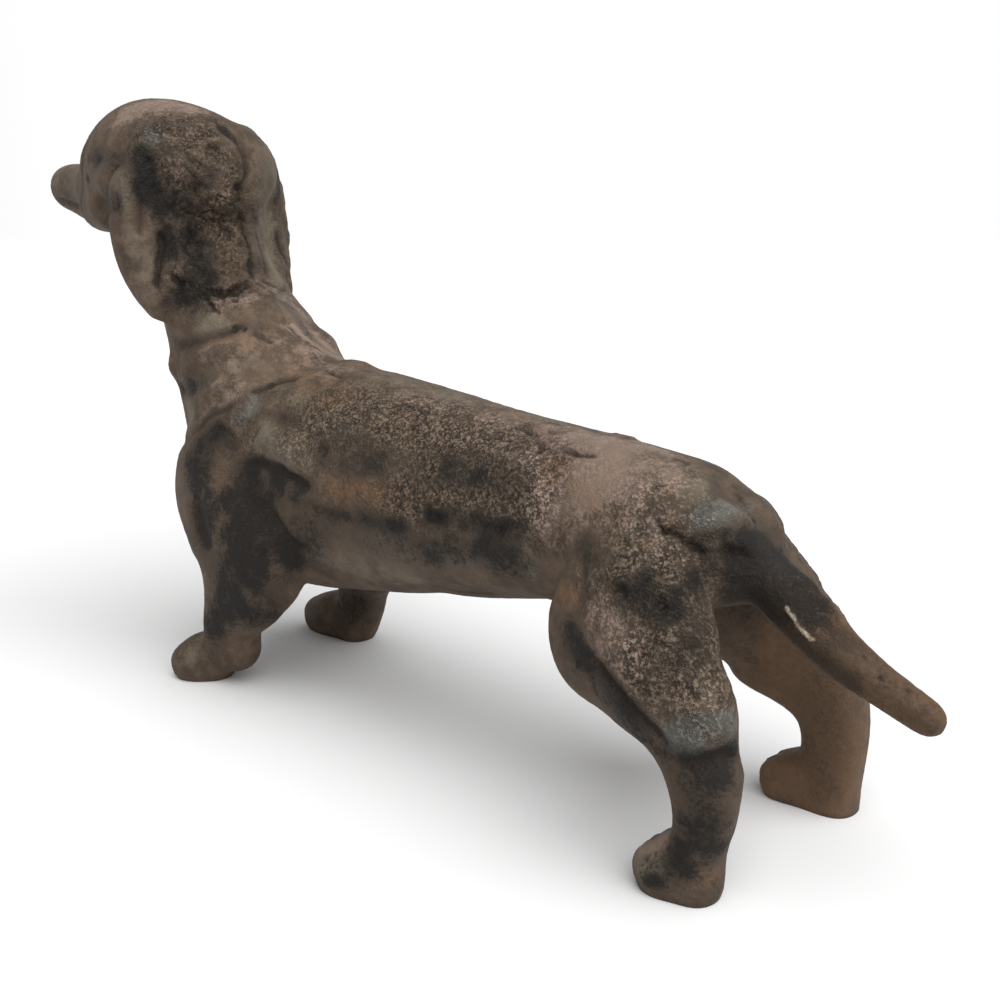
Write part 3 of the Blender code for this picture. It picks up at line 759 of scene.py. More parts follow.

# %% Where the dark foundry skin is left, and where shade is painted dark
# Many rows paint shade: they lie along the carved creases and cuts, under the ear's lower edge and along
# the underside of the belly. The others are the dark foundry skin.
dark_skin_and_shade_marks = [
    # the head and the ear
    (0.95, 2.1, [(-72.5, -14.5, 103), (-72, -15.5, 100), (-71.5, -15.5, 98)]),
    (0.95, 2.3, [(-71.5, -16, 95.5), (-70.5, -15, 93.5), (-69.5, -13, 91.5), (-69, -12, 89.5)]),
    (0.7, 1.2, [(-74, -16.5, 103.5), (-73.5, -17, 101)]),
    (0.8, 1.6, [(-69.5, -14.5, 87), (-69, -15, 84)]),
    (0.8, 1.8, [(-69, -9.5, 86.5), (-67.5, -9.5, 82.5), (-65, -10.5, 78), (-64, -11.5, 75)]),
    (0.6, 1.0, [(-74, -10, 108.5)]),
    (0.6, 1.6, [(-66.5, -10, 96.5), (-65, -8.5, 98), (-64.5, -6.5, 99.5)]),
    (0.35, 1.2, [(-69, -10.5, 92), (-67, -7, 92.5), (-66, -2, 92)]),
    (0.5, 1.2, [(-66.5, -13, 77), (-67.5, -15, 75), (-69, -16, 74)]),
    (0.7, 1.8, [(-92, -15.5, 102.5), (-80, -19, 102)]),
    (0.5, 1.7, [(-96, -13.5, 93.5), (-78, -21, 93)]),
    (0.4, 1.4, [(-125.5, -6, 95.5), (-122, -6, 95)]),
    (0.9, 0.6, [(-101, -13, 99), (-98.5, -14, 99)]),
    (0.4, 0.6, [(-72, -1, 110), (-67.5, -1.5, 106.5), (-65.5, 0, 104.5), (-64, 0.5, 100.5),
     (-64, -1, 96.5), (-65.5, -0.5, 93.5)]),
    (0.6, 0.6, [(-67, 1, 90.5), (-67.5, 2, 86.5), (-65.5, 1.5, 82), (-62, -0.5, 78.5)]),
    (0.5, 0.8, [(-68.5, -1, 108), (-65.5, -0.5, 106)]),
    (0.4, 2.2, [(-67.5, -7, 84.5), (-64.5, -5, 80.5), (-63.5, 2.5, 81)]),
    (0.4, 2.0, [(-67.5, -11, 101.5)]),
    (0.4, 2.0, [(-64.5, -9.5, 78), (-67, -12, 76)]),
    (0.35, 2.0, [(-63.5, 3.5, 81)]),
    # the neck and the shoulder
    (0.3, 1.2, [(-71.5, -13.5, 66), (-63.5, -14.5, 66.5), (-58.5, -13, 67.5), (-56, -10.5, 68.5),
     (-54.5, -9, 69.5)]),
    (0.8, 1.4, [(-63.5, -15, 58.5), (-59.5, -15.5, 59)]),
    (0.45, 2.2, [(-66, -12.7, 71), (-63, -13, 72)]),
    (0.7, 0.6, [(-46.5, -12.5, 58.5), (-45, -11.5, 59), (-43.5, -10, 60)]),
    (0.5, 0.6, [(-55.5, -10, 69.5), (-55, -8.5, 70), (-53.5, -8, 69)]),
    (0.5, 0.6, [(-52.5, -7.5, 68.5), (-51, -6.5, 68), (-48.5, -6, 67.5)]),
    (0.8, 1.9, [(-53, -20, 49), (-50.5, -18.5, 50.5)]),
    (0.5, 1.1, [(-49.5, -18, 52), (-45.5, -17.5, 49.5)]),
    (0.7, 1.9, [(-56, -21.5, 45), (-53, -22, 42.5)]),
    (0.4, 1.4, [(-34, -15, 55), (-31, -15, 55)]),
    (0.8, 0.9, [(-40.5, -18, 47), (-36, -18.5, 47.5), (-30.5, -18.5, 47), (-27, -18, 46),
     (-22.5, -18.5, 45)]),
    (0.6, 1.1, [(-50.5, -22.5, 40)]),
    (1, 2.8, [(-39.5, -19, 42.5), (-37, -19.5, 39.5)]),
    (0.9, 1.6, [(-31, -18.5, 44.5), (-26, -18.5, 44)]),
    (0.6, 1.1, [(-44, -21.5, 40)]),
    (0.6, 0.6, [(-34, -4.5, 63), (-31, -5, 62.5), (-28, -5, 62)]),
    (0.4, 0.5, [(-53, -0.5, 71), (-51, 0, 69.5), (-48.5, 0.5, 67.5), (-46, 2.5, 65.5), (-44.5, 5, 64.5),
     (-45, 8, 63)]),
    (0.75, 3.0, [(-51, -21, 44), (-50, -20, 36)]),
    (0.35, 2.0, [(-57, -15, 61), (-55, -15, 63)]),
    (0.6, 2.0, [(-50, -21, 31), (-48, -20, 38)]),
    # the flank and the back
    (0.4, 1.8, [(8, -13, 52.2), (12, -12.8, 52)]),
    (0.3, 1.1, [(-25.5, -15, 54.5), (-22.5, -16, 52.5), (-20, -17, 50.5)]),
    (0.25, 2.6, [(-21, -15.5, 52), (-14, -16, 50)]),
    (0.5, 2.6, [(-16, -15, 53.5), (-8, -15.5, 51.5), (0, -14.5, 52), (10, -13, 52), (20, -13, 51)]),
    (0.6, 1.0, [(-10.5, -17, 41), (-1, -16.5, 41.5)]),
    (0.9, 1.1, [(5.5, -16, 44), (11.5, -15, 44.5), (19.5, -14.5, 45), (23.5, -14, 45)]),
    (0.5, 1.9, [(4.5, -15.5, 38.5), (13, -14.5, 40.5), (21, -14, 42)]),
    (0.7, 2.5, [(-28.5, -16.5, 33), (-23, -16.5, 33)]),
    (0.5, 1.9, [(18, -13, 37), (22.5, -13.5, 39)]),
    (0.8, 0.4, [(14, -5, 58), (15, -4.5, 58), (17, -5, 57.5), (19, -5.5, 57.5)]),
    (0.7, 0.4, [(20, -3.5, 58), (21, -3.5, 57.5)]),
    (0.7, 0.4, [(19.5, -6.5, 57), (21, -7, 56), (22, -8.5, 56), (22, -7, 56.5)]),
    (0.5, 0.9, [(-20.5, -18, 40.5), (-13, -17.5, 41)]),
    (0.35, 3.4, [(-24, -17, 38), (-8, -16, 38), (8, -14.5, 38), (22, -14, 40)]),
    # the loin, the hip and the thigh
    (0.6, 0.7, [(25, -6.5, 56), (27.5, -7, 55.5), (30.5, -6.5, 56)]),
    (0.9, 0.6, [(47, -11.5, 48), (49, -10.5, 47.5), (51, -10, 46.5), (52.5, -9, 46)]),
    (0.9, 1.6, [(55, -7, 46.5), (56.5, -5.5, 45.5), (56, -6.5, 43.5)]),
    (0.7, 1.0, [(53, -8.5, 46.5), (52, -9, 47.5), (54, -8, 48.5)]),
    (0.45, 1.2, [(44, -18.5, 42), (47.5, -19, 41), (48.5, -17.5, 43.5)]),
    (0.3, 1.6, [(51.5, -18, 41), (53.5, -17, 40.5)]),
    (0.5, 1.5, [(53, -13, 42.5)]),
    (0.6, 1.6, [(36, -14.5, 45), (40, -16.5, 44.5)]),
    (0.35, 0.7, [(38.5, -17.5, 42), (39.5, -19.5, 38.5)]),
    (0.25, 2.4, [(37, -19.5, 34), (40, -20.5, 31), (44.5, -21.5, 28.5), (50, -22, 24)]),
    (0.7, 0.4, [(50, 3, 52.5), (53, 1, 51.5), (55.5, -0.5, 50), (56.5, -2, 49)]),
    (0.4, 2.6, [(56.5, -19.5, 35)]),
    (0.9, 1.4, [(54, -9, 43.5), (57, -5.5, 43)]),
    (0.35, 2.6, [(49.5, -19, 40), (52.5, -18, 40.5), (56, -13, 40)]),
    (0.25, 3.0, [(53, -20.5, 36), (57, -19, 34)]),
    # the hock, the shank and the paw
    (1, 1.0, [(59.5, -21.5, 22), (62.5, -20, 22.5), (63.5, -17, 23)]),
    (0.75, 1.6, [(39, -21, 33), (44, -21.5, 29.5), (48.5, -22, 26.5), (52, -22, 24),
     (55.5, -22, 21.5)]),
    (0.8, 1.6, [(58.5, -21.5, 19.5), (61, -21, 19.5), (63.5, -19, 21)]),
    (0.5, 1.8, [(60, -21.5, 15), (63, -20.5, 14)]),
    (0.8, 1.1, [(58.5, -21.5, 8.5), (59, -21.5, 6)]),
    (0.6, 1.6, [(60, -21.5, 12), (63, -18.5, 9)]),
    (0.6, 1.1, [(55.5, -22.5, 3)]),
    (0.6, 0.5, [(45, -21.5, 30.5), (49, -22, 28), (53, -22, 25.5), (56.5, -22, 23.5)]),
    (0.4, 2.6, [(56, -21, 5), (61, -20, 6)]),
    (0.5, 1.6, [(62.5, -17.5, 3)]),
    (0.15, 2.6, [(60, -21.5, 19), (61.5, -21, 14)]),
    # the tail and the right hind leg
    (1, 1.9, [(58, -2.5, 46.5), (60, -2.5, 44), (62, -2.5, 42.5)]),
    (0.9, 0.3, [(73, -0.5, 34)]),
    (0.9, 0.3, [(75.5, -1, 31.5)]),
    (0.8, 0.3, [(79, 0.5, 30.5)]),
    (0.25, 4.0, [(50, 9, 33), (57, 8, 36)]),
    (0.6, 1.8, [(62, -0.5, 43.5), (66, -2.5, 38.5)]),
    (0.2, 2.6, [(63, -0.5, 42), (67, -0.5, 39.5)]),
    (0.3, 0.8, [(67.5, -3, 33), (70.5, -2.5, 31), (73, -2, 29.5)]),
    (2.4, 2.6, [(59, -2.5, 45), (62.5, -3, 41)]),
    # the forelegs
    (0.7, 2.6, [(-40.5, -22.5, 33), (-37, -21.5, 27.5)]),
    (0.6, 1.9, [(-43.5, -22.5, 24.5), (-41.5, -21, 18.5)]),
    (0.8, 1.8, [(-33, -18.5, 33.5), (-31, -17, 29.5)]),
    (0.6, 3.0, [(-51.5, 12.5, 8), (-47, 13, 11)]),
    (1.2, 2.6, [(-39, -19.5, 43), (-38.5, -19.5, 38), (-40.5, -22.5, 29), (-45, -22, 20),
     (-50, -22, 14)]),
    (1.0, 2.4, [(-35, -20.5, 28), (-33, -18.5, 33)]),
    (0.7, 3.0, [(-34, -20, 26), (-38, -18, 17)]),
]
print("dark marks:", len(dark_skin_and_shade_marks))

# %% Where hands rubbed it sandy, where highlights are painted, and where it is smooth and olive
# Rows along the top of the back, along the nape and on the far shoulder also paint highlights where the
# light falls.
rubbed_and_highlight_marks = [
    # the head and the ear
    (1.1, 2.9, [(-88, -10, 112), (-85, -6, 113.5), (-79, -2.5, 112.5)]),
    (0.4, 1.9, [(-68.5, -12, 101.5), (-68.5, -10.5, 94)]),
    (0.25, 1.6, [(-64, -5, 100), (-64.5, -4, 95)]),
    (0.7, 1.6, [(-60, -8.5, 74.5), (-58.5, -5, 75.5)]),
    # the neck and the shoulder
    (0.6, 1.6, [(-47.5, 7.5, 66.5), (-45, 7.5, 64.5)]),
    (0.35, 1.2, [(-56.5, -18.5, 52), (-54, -17.5, 54.5), (-51, -16.5, 56.5), (-48.5, -15, 58)]),
    (0.4, 2.3, [(-58, -16.5, 63), (-53, -13.5, 66), (-49, -8.5, 67)]),
    (0.25, 1.5, [(-54, -15.5, 59), (-49, -13.5, 60)]),
    (0.8, 1.0, [(-51, 0, 69.5), (-48, 1.5, 68), (-45.5, 4.5, 65.5), (-45.5, 9.5, 63)]),
    (0.5, 3.1, [(-45, -2, 66), (-33, -4.5, 62.5)]),
    (0.7, 2.6, [(-60, 4, 76), (-54, 5.5, 71.5), (-46, 7, 65.5)]),
    # the flank and the back
    (0.45, 2.2, [(18, -8, 56.5), (24, -9, 55.5)]),
    (0.5, 1.6, [(-12.5, -6, 61), (-3, -5, 60), (5.5, -4.5, 59)]),
    (0.5, 1.3, [(5, -10.5, 56), (13.5, -9, 56)]),
    (0.35, 1.4, [(19, -14, 48), (24, -14, 46.5)]),
    (0.6, 2.8, [(12, -3, 59), (24, -2, 58), (38, 0, 57)]),
    # the loin, the hip and the thigh
    (0.4, 1.6, [(43, -12.7, 49.3), (46, -12, 49)]),
    (0.4, 1.4, [(50.9, -9.8, 47.5), (50, -12.5, 45.5)]),
    (0.4, 1.8, [(25.5, -10.5, 54), (28, -13, 50), (28, -14, 45.5)]),
    (0.75, 2.4, [(32.5, -7, 56), (34.5, -4.5, 56.5)]),
    (0.8, 1.9, [(30.5, -11, 53), (33.5, -12.5, 51)]),
    (0.8, 2.3, [(39, -10.5, 53)]),
    (0.9, 2.8, [(44.5, -21.5, 36.5), (47.5, -22, 34)]),
    (0.6, 1.6, [(43.5, -4.5, 55.5)]),
    (0.5, 1.4, [(25.5, -4, 57.5)]),
    (0.4, 1.8, [(58.5, -20.5, 31), (61, -19.5, 29.5)]),
    (0.5, 3.2, [(30, -7, 56), (38, -8, 54.5), (43, -6, 54.5)]),
    (0.5, 3.2, [(29, -12.5, 51), (33, -14, 46)]),
    # the hock, the shank and the paw
    (0.8, 1.5, [(54.2, -20.2, 7.6), (52, -20, 8)]),
    # the tail and the right hind leg
    (0.5, 1.1, [(61, 0, 44.5), (63.5, -1.5, 42)]),
    (0.5, 0.3, [(57, 12, 22.5), (59, 12, 24)]),
    (0.5, 0.3, [(57, 12, 21.5), (60.5, 12.5, 22.5)]),
    # the forelegs
    (0.4, 0.6, [(-52.5, -21.5, 7.5)]),
]
olive_marks = [
    # the head and the ear
    (0.5, 1.8, [(-72.5, -17.5, 86.5), (-72, -18, 82.5), (-72, -18.5, 78), (-72, -18.5, 75.5)]),
    (0.6, 1.0, [(-75, -19.5, 94), (-75, -20, 84.5)]),
    (0.7, 4.0, [(-66, 8, 104), (-66, 8, 96), (-69, 10, 86.5), (-63, 8, 78.5)]),
    (0.5, 2.3, [(-78.5, -20, 98.5), (-75.5, -19, 97)]),
    (0.6, 4.5, [(-130, -3, 100), (-120, -5, 99)]),
    # the neck and the shoulder
    (0.6, 1.4, [(-58, -18.5, 50), (-66, -15.5, 58)]),
    (0.9, 2.6, [(-37, -17.5, 52.5), (-30.5, -18.5, 51), (-26, -18, 49.5)]),
    (0.7, 1.8, [(-60.5, -13, 70.5), (-58.5, -11.5, 71)]),
    (0.6, 2.2, [(-38.5, -12, 59), (-31.5, -12.5, 59)]),
    (0.4, 2.0, [(-56, -14, 60), (-50, -12.5, 64.5), (-47.5, -10, 65)]),
    # the flank and the back
    (0.5, 3.0, [(-22, -1, 62.5), (0, -1, 60.5), (16, 0, 58.5)]),
    (0.6, 2.1, [(-21, -15.5, 31.5), (-13, -13.5, 30), (-3.5, -12.5, 31)]),
    (0.5, 1.5, [(24.5, -13, 39.5)]),
    (0.38, 3.6, [(-22, -16.5, 35), (-10, -16, 34), (8, -15, 34.5), (20, -14, 36)]),
    (0.6, 0.9, [(24.5, -13.5, 42.5), (24, -12, 37.5)]),
    # the loin, the hip and the thigh
    (0.7, 1.5, [(48.5, -7, 53), (47.5, -2.5, 54.5)]),
    (0.5, 2.0, [(44.5, -11.5, 51)]),
    (0.6, 1.3, [(58, -21.5, 29), (60.5, -20, 30)]),
    (0.6, 0.7, [(38, -20.5, 29.5), (40.5, -21.5, 29)]),
    # the hock, the shank and the paw
    (1.1, 1.6, [(53.5, -22.5, 4.5), (54.5, -22, 6.5), (55, -19.5, 8)]),
    # the tail and the right hind leg
    (0.6, 0.8, [(51, 13.5, 3.5), (53.5, 16, 7)]),
    # the forelegs
    (0.5, 1.2, [(-57, -20.5, 8.5), (-57, -23, 5)]),
]
print("sandy and olive marks:", len(rubbed_and_highlight_marks), len(olive_marks))

# %% Where worn metal is smooth, with its sheen painted grey, and where it rusted
# Where these marks lie the metal is smoother and shinier, and its grey colour is a painted sheen.
smooth_wear_and_sheen_marks = [
    # the head and the ear
    (0.6, 1.6, [(-74, -14, 105.5), (-74.5, -12.5, 107.5)]),
    # the neck and the shoulder
    (0.8, 1.7, [(-45.5, -16, 54.5), (-44.5, -14.5, 56), (-45, -12, 57.5)]),
    (0.4, 2.6, [(-57, 3.5, 74.5), (-53.5, 5, 72)]),
    # the flank and the back
    (0.4, 1.4, [(-16.5, -14, 55.5)]),
    (0.3, 2.3, [(-14, -17, 38), (0, -15.5, 38), (15, -14, 39)]),
    # the loin, the hip and the thigh
    (1, 1.8, [(52, -8, 50.5), (52.5, -5, 51.5)]),
    (0.6, 1.1, [(52.5, 1.5, 51.5), (55.5, -1, 50)]),
    (0.4, 1.4, [(44.5, -13, 48.5)]),
    (0.4, 1.5, [(47.5, -16.5, 44.5), (49, -14.5, 45.5)]),
    # the hock, the shank and the paw
    (0.45, 1.1, [(46, -22, 26.5), (50, -22, 23.5)]),
    (1, 1.2, [(57, -22, 24.5), (59.5, -21.5, 24)]),
    (1.2, 1.6, [(61, -21, 25.5), (63, -18, 26)]),
    (0.9, 0.9, [(57.5, -22, 26.5), (60.5, -21, 27.5), (63, -17.5, 27.5)]),
]
rust_marks = [
    # the head and the ear
    (0.6, 2.0, [(-64.5, -3, 82), (-62, -4, 79)]),
    (0.5, 1.6, [(-66.5, -10, 96.5)]),
    (0.4, 3.3, [(-89.5, -14, 107)]),
    # the neck and the shoulder
    (0.4, 3.1, [(-51.5, -11, 67), (-46, -4, 66), (-25, -11, 59.5)]),
    (0.6, 1.7, [(-48.5, -21, 44), (-46, -20, 44), (-46, -21.5, 41.5)]),
    # the flank and the back
    (0.8, 1.2, [(-18.5, -18, 45.5), (-11.5, -17.5, 46), (-4.5, -16.5, 47.5)]),
    (0.9, 0.7, [(-15.5, -18, 44)]),
    (0.4, 2.0, [(-13.5, -17.5, 43.5), (-5.5, -17, 44.5)]),
    (0.4, 2.0, [(11, -0.5, 59.5), (21, -6, 57), (27, -9.5, 54.5)]),
    (0.5, 1.3, [(-1.5, -16.5, 46.5), (6, -15.5, 47)]),
    (0.3, 0.5, [(0.5, -11, 30), (5.5, -9, 29), (13.5, -8.5, 30.5)]),
    # the loin, the hip and the thigh
    (0.4, 2.1, [(27.5, -10.5, 54), (35, -12.5, 51)]),
    (0.35, 3.6, [(34.5, -4.5, 56.5)]),
    (0.6, 1.3, [(34.5, -17, 39.5), (37, -19, 38)]),
    (0.5, 0.7, [(31, -13.5, 48.5), (28.5, -14, 43.5)]),
    (0.4, 1.1, [(36.5, -18.5, 38), (24.5, -9.5, 34.5)]),
    (0.5, 0.9, [(61.5, -17.5, 30), (62.5, -17, 29)]),
    # the hock, the shank and the paw
    (0.4, 1.6, [(62, -20.5, 7.5), (62.5, -17, 5)]),
    (0.5, 1.2, [(60.5, -21, 3.5), (62.5, -18.5, 4.5)]),
    # the tail and the right hind leg
    (0.9, 5.0, [(56, 10, 30), (57, 12, 22), (56, 12, 12), (54, 13, 5)]),
    (1.0, 0.8, [(68.5, -0.5, 37.5), (70, -0.5, 36.5), (71.5, 0, 35.5)]),
    (1.6, 3.6, [(66, -1, 39.5), (73, -1, 33.5), (79, -1, 28.5), (83, -1, 25.5)]),
    (0.6, 1.8, [(65.5, -1.5, 40), (71, -1.5, 34.5)]),
    (0.45, 1.6, [(75.5, -1, 31.5), (80.5, -1, 27.5)]),
    (1.2, 4.5, [(57, 12, 22), (61, 12.5, 14), (61.5, 13.5, 5)]),
    # the forelegs
    (0.4, 1.5, [(-43, -23, 28.5), (-48, -22.5, 19.5)]),
    (0.4, 1.6, [(-47, -21, 11)]),
]
print("steel and rust marks:", len(smooth_wear_and_sheen_marks), len(rust_marks))

# %% Where dirt lies, where shade is painted, and where the flash was knocked off
# Most of these rows paint shade: under the tail, on the legs beside it and on the inner side of the far
# leg. A row at the tail's root is dirt in its pits.
dirt_and_shade_marks = [
    # the head and the ear
    (0.4, 3.0, [(-64.5, 6.5, 102), (-65, 7, 96)]),
    (0.35, 2.2, [(-67, 6, 87), (-67, 6, 82)]),
    # the loin, the hip and the thigh
    (0.9, 2.2, [(55.7, -5.8, 40), (59, -4, 40.5)]),
    # the tail and the right hind leg
    (0.6, 3.4, [(50, 7, 34), (56, 7, 37)]),
    (0.58, 3.6, [(66, -0.5, 40.5), (74, -1, 33), (83, -1, 25.5)]),
    (0.3, 2.4, [(66, 0, 42), (70.5, 0, 37)]),
    (0.48, 5.0, [(62, 12, 28), (62, 12.5, 18), (60, 13, 6)]),
    (0.6, 1.1, [(60, -4, 37.8), (63, -3.5, 35.6), (66.4, -3, 33.3), (69.3, -2.5, 31.1),
     (71.7, -2, 29.3)]),
]
bare_marks = [
    # the tail and the right hind leg
    (0.9, 0.42, [(62.5, -4, 39), (64.5, -3.8, 37), (66.5, -3.5, 35)]),
    (0.4, 0.25, [(62, -1.5, 43), (63, 0.5, 43)]),
]
print("dirt and bare marks:", len(dirt_and_shade_marks), len(bare_marks))

# %% From marks to masks
BRUSH_SPREAD, FINEST_BRUSH = 1.5, 0.9   # a mark spreads beyond its brush, unless that is fine
WIDE, LEFT_SIDE = 1.2, -4   # wide marks that reach past this y are on the hidden side too
THICKEST = 1.2         # marks that overlap cover fully, also where their edges are ragged
SHOWN_OF_HEAD = 14.0   # the photo shows the head's right side up to here
beyond = at[:, 1] - SHOWN_OF_HEAD * (at[:, 0] < -55)
out_of_sight = ramp(beyond, -3.0, 2.0) * ramp(facing(at)[:, 1], 0.0, 0.5)


def brushed(rows, seed, ragged=0.5, hidden=0.5, cloud=16.0):
    """Strokes of (strength, width, path) added up, with edges broken by noise. The hidden side gets
    the wide strokes too, and clouds of its own."""
    total = np.zeros(len(at))
    for strength, width, path in rows:
        width *= BRUSH_SPREAD if width > FINEST_BRUSH else 1
        total += stroke(path, width, strength)
        if width > WIDE and min(y for _, y, _ in path) < LEFT_SIDE:
            total += out_of_sight * stroke(mirrored(path), width, PLAINER * strength)
    total *= 1 + ragged * 1.4 * grain(at, 6.0, 2, seed)
    own = out_of_sight * hidden * ramp(grain(at, cloud, 3, seed + 5), 0.05, 0.5)
    return np.clip(np.maximum(total, own), 0, THICKEST)


coarse = np.minimum(brushed(coarse_marks, 11, ragged=0.3, hidden=0.6, cloud=26.0), 1)
dark_skin_and_shade = brushed(dark_skin_and_shade_marks, 71, hidden=0.8, cloud=18.0)
rubbed_and_highlight = brushed(rubbed_and_highlight_marks, 72, hidden=0.6)
olive = brushed(olive_marks, 73, hidden=0.5)
smooth_wear_and_sheen = brushed(smooth_wear_and_sheen_marks, 74, hidden=0.0)
rust = brushed(rust_marks, 75, hidden=0.4, cloud=12.0)
bare = brushed(bare_marks, 76, ragged=0.1, hidden=0.0)
dirt_and_shade = brushed(dirt_and_shade_marks, 77, ragged=0.1, hidden=0.0)
found = (coarse, dark_skin_and_shade, rubbed_and_highlight, olive, smooth_wear_and_sheen, rust, bare, dirt_and_shade)
print("mean masks:", [float(m.mean().round(2)) for m in found])

# %% [markdown]
# ## Grain of the sand mould
# The mould was rammed sand, so the skin is grainy all over, with pits where single grains broke away.
# On the ears the pattern had tufts of hair, which came out as lumps with crooked crevices between them.
# Noise that is pushed about by other noise looks natural, because its cells lose their regular shape.
# The height of this fine relief is kept as well: the finish is lighter where it stands high, and darker
# where it lies low.

# %% Grain, pits, lumps and crevices
push = np.stack([grain(at, 3.5, 2, seed) for seed in (81, 82, 83)], axis=1)
warped = at + 1.6 * push   # pushed about by up to 1.6 mm
left_hair = [(-70, -12, 108), (-67, -9, 98), (-66, -8, 90), (-65, -8, 80)]
right_hair = [(-69, 16, 106), (-68, 16, 98), (-66, 15, 90), (-65, 14, 80)]
smooth_band = [(-73.5, -18.5, 90), (-73, -18.5, 84), (-72.5, -18.5, 76)]
hair = np.clip(stroke(left_hair, 8.0, 1.8) + stroke(right_hair, 4.0, 0.4), 0, 1)
hair *= 1 - np.clip(stroke(smooth_band, 3.0), 0, 1)


def cracks(size, octaves, seed, wide=0.10):
    """1 along the lines where clouds of this size cross zero, and 0 a little beside them."""
    return np.clip(1 - np.abs(grain(warped, size, octaves, seed)) / wide, 0, 1)


lumps = grain(warped, 3.0, 3, 21)
crevice = np.maximum(cracks(5.0, 3, 84), 0.7 * cracks(2.8, 2, 87))
tufts = hair * (0.75 * lumps - 0.5 * crevice)
pits = spots(at + 0.6 * push, spacing=1.5, radius=0.75, share=0.5, seed=31)
fine = 0.12 * grain(at, 2.6, 3, 41) + 0.10 * grain(at, 1.1, 2, 47)
detail = fine * (0.15 + 1.6 * coarse + 0.8 * hair)      # all heights are in mm
detail -= pits * (0.04 + 0.24 * coarse + 0.1 * hair)
detail += tufts + 0.03 * clouds(at, 0.5, 49) + 0.18 * grain(at, 9.0, 2, 51)
print("grain, deepest and highest in mm:", detail.min().round(2), detail.max().round(2))

# %% A blister of the casting
BLISTER_RADIUS, RIM_WIDTH, RIM_HEIGHT = 1.0, 0.45, 0.35   # a gas bubble left a ring on the belly
blister = np.linalg.norm(at - snapped([(1.3, -15.7, 38.9)])[0], axis=1)
detail += RIM_HEIGHT * np.exp(-(((blister - BLISTER_RADIUS) / RIM_WIDTH) ** 2))
print("points on the blister's rim:", int((np.abs(blister - BLISTER_RADIUS) < RIM_WIDTH).sum()))

# %% [markdown]
# ## The parting line of the mould
# The two halves of the mould meet along the middle of the dog, and a thin line stands where iron
# crept between them. It follows the tail, which leans to the right.

# %% Mould line
LINE_HEIGHT, LINE_WIDTH, TAIL_LEAN = 0.22, 0.5, 0.076
middle = TAIL_LEAN * np.maximum(at[:, 0] - 50, 0)
line = np.exp(-(((at[:, 1] - middle) / LINE_WIDTH) ** 2)) * (0.5 + 0.5 * grain(at, 6.0, 2, 61))
upright = ramp(np.abs(facing(at)[:, 2]), 0.3, 0.7)   # only on the back and under the belly
detail += LINE_HEIGHT * line * upright * ramp(at[:, 0], -60, -40)
at = at + (detail * on_ground)[:, None] * facing(at)
sort_skin()
# painted shade: darker where the folds cut in and in the crevices between tufts, added to the dirt and
# painted shade
hollow_shade_and_dirt = np.clip(-form + 0.4 * hair * crevice + dirt_and_shade, 0, 1)
print("box with grain in mm:", at.min(axis=0).round(1), at.max(axis=0).round(1))

# %% [markdown]
# ## The finished mesh
# The carved points go back into the mesh, the masks beside them. Decimate then thins the flat
# stretches, where fewer triangles show the same shape, and keeps them where the relief needs them.

# %% Write the mesh and thin it
MOST_TRIANGLES = 190000


def triangles_of(mesh):
    """A face of n corners is n - 2 triangles."""
    return sum(len(p.vertices) - 2 for p in mesh.polygons)


at[:, 2] = np.maximum(at[:, 2], 0)
skin.vertices.foreach_set("co", ((at - (MID_LENGTH_X, 0, 0)) * MM).ravel())
skin.update()
masks = {
    "dark_skin_and_shade": dark_skin_and_shade, "rubbed_and_highlight": rubbed_and_highlight, "olive": olive, "smooth_wear_and_sheen": smooth_wear_and_sheen, "rust": rust, "bare": bare,
    "hollow_shade_and_dirt": hollow_shade_and_dirt, "coarse": np.maximum(coarse, 0.6 * hair),
    "height": np.clip(0.5 + 1.2 * tufts, 0, 1),
}
for name, values in masks.items():
    skin.attributes.new(name, "FLOAT", "POINT").data.foreach_set("value", values.astype(np.float32))
rough_casting = added("rough_casting", skin)
thin = rough_casting.modifiers.new("fewer_faces", "DECIMATE")
thin.ratio = min(1.0, MOST_TRIANGLES / triangles_of(skin))
bpy.context.view_layer.update()
finished = bpy.data.meshes.new_from_object(
    rough_casting.evaluated_get(bpy.context.evaluated_depsgraph_get())
)
bpy.data.objects.remove(rough_casting)
dog = added("dachshund_casting", finished)
finished.shade_smooth()
print("finished:", len(finished.vertices), "points,", triangles_of(finished), "triangles")
print("attributes kept:", [a.name for a in finished.attributes])

# %% [markdown]
# ## The finish
# The material is built from layers, as the real patina is, and some of the layers also carry painted
# shade, highlights and sheen. Each layer has its colour, and a mask from the mesh that is broken up by
# noise so that its edge is ragged. Noise reads the Object coordinates, in metres, so a scale of 1000
# gives grains of a millimetre. Small pits and sand grain that the mesh is too coarse for come from a
# bump.

# %% Nodes
def feed(node, values):
    """Gives each named input its number, or joins it to what another node puts out."""
    for name, value in values.items():
        if isinstance(value, bpy.types.NodeSocket):
            node.id_data.links.new(value, node.inputs[name])
        else:
            node.inputs[name].default_value = value


def new_node(tree, kind, values, **settings):
    """A node of this kind: first its settings, then its inputs."""
    node = tree.nodes.new("ShaderNode" + kind)
    for name, setting in settings.items():
        setattr(node, name, setting)
    feed(node, values)
    return node


iron = bpy.data.materials.new("worn_cast_iron")
iron.use_nodes = True
patina_tree = iron.node_tree
place = new_node(patina_tree, "TexCoord", {}).outputs["Object"]
print("the places of the patina come from:", place.name)

# %% Noise, masks and mixing
def noise(scale, detail, roughness):
    """Clouds of 1 / scale metres on Object coordinates."""
    values = {"Vector": place, "Scale": scale, "Detail": detail, "Roughness": roughness}
    return new_node(patina_tree, "TexNoise", values).outputs["Fac"]


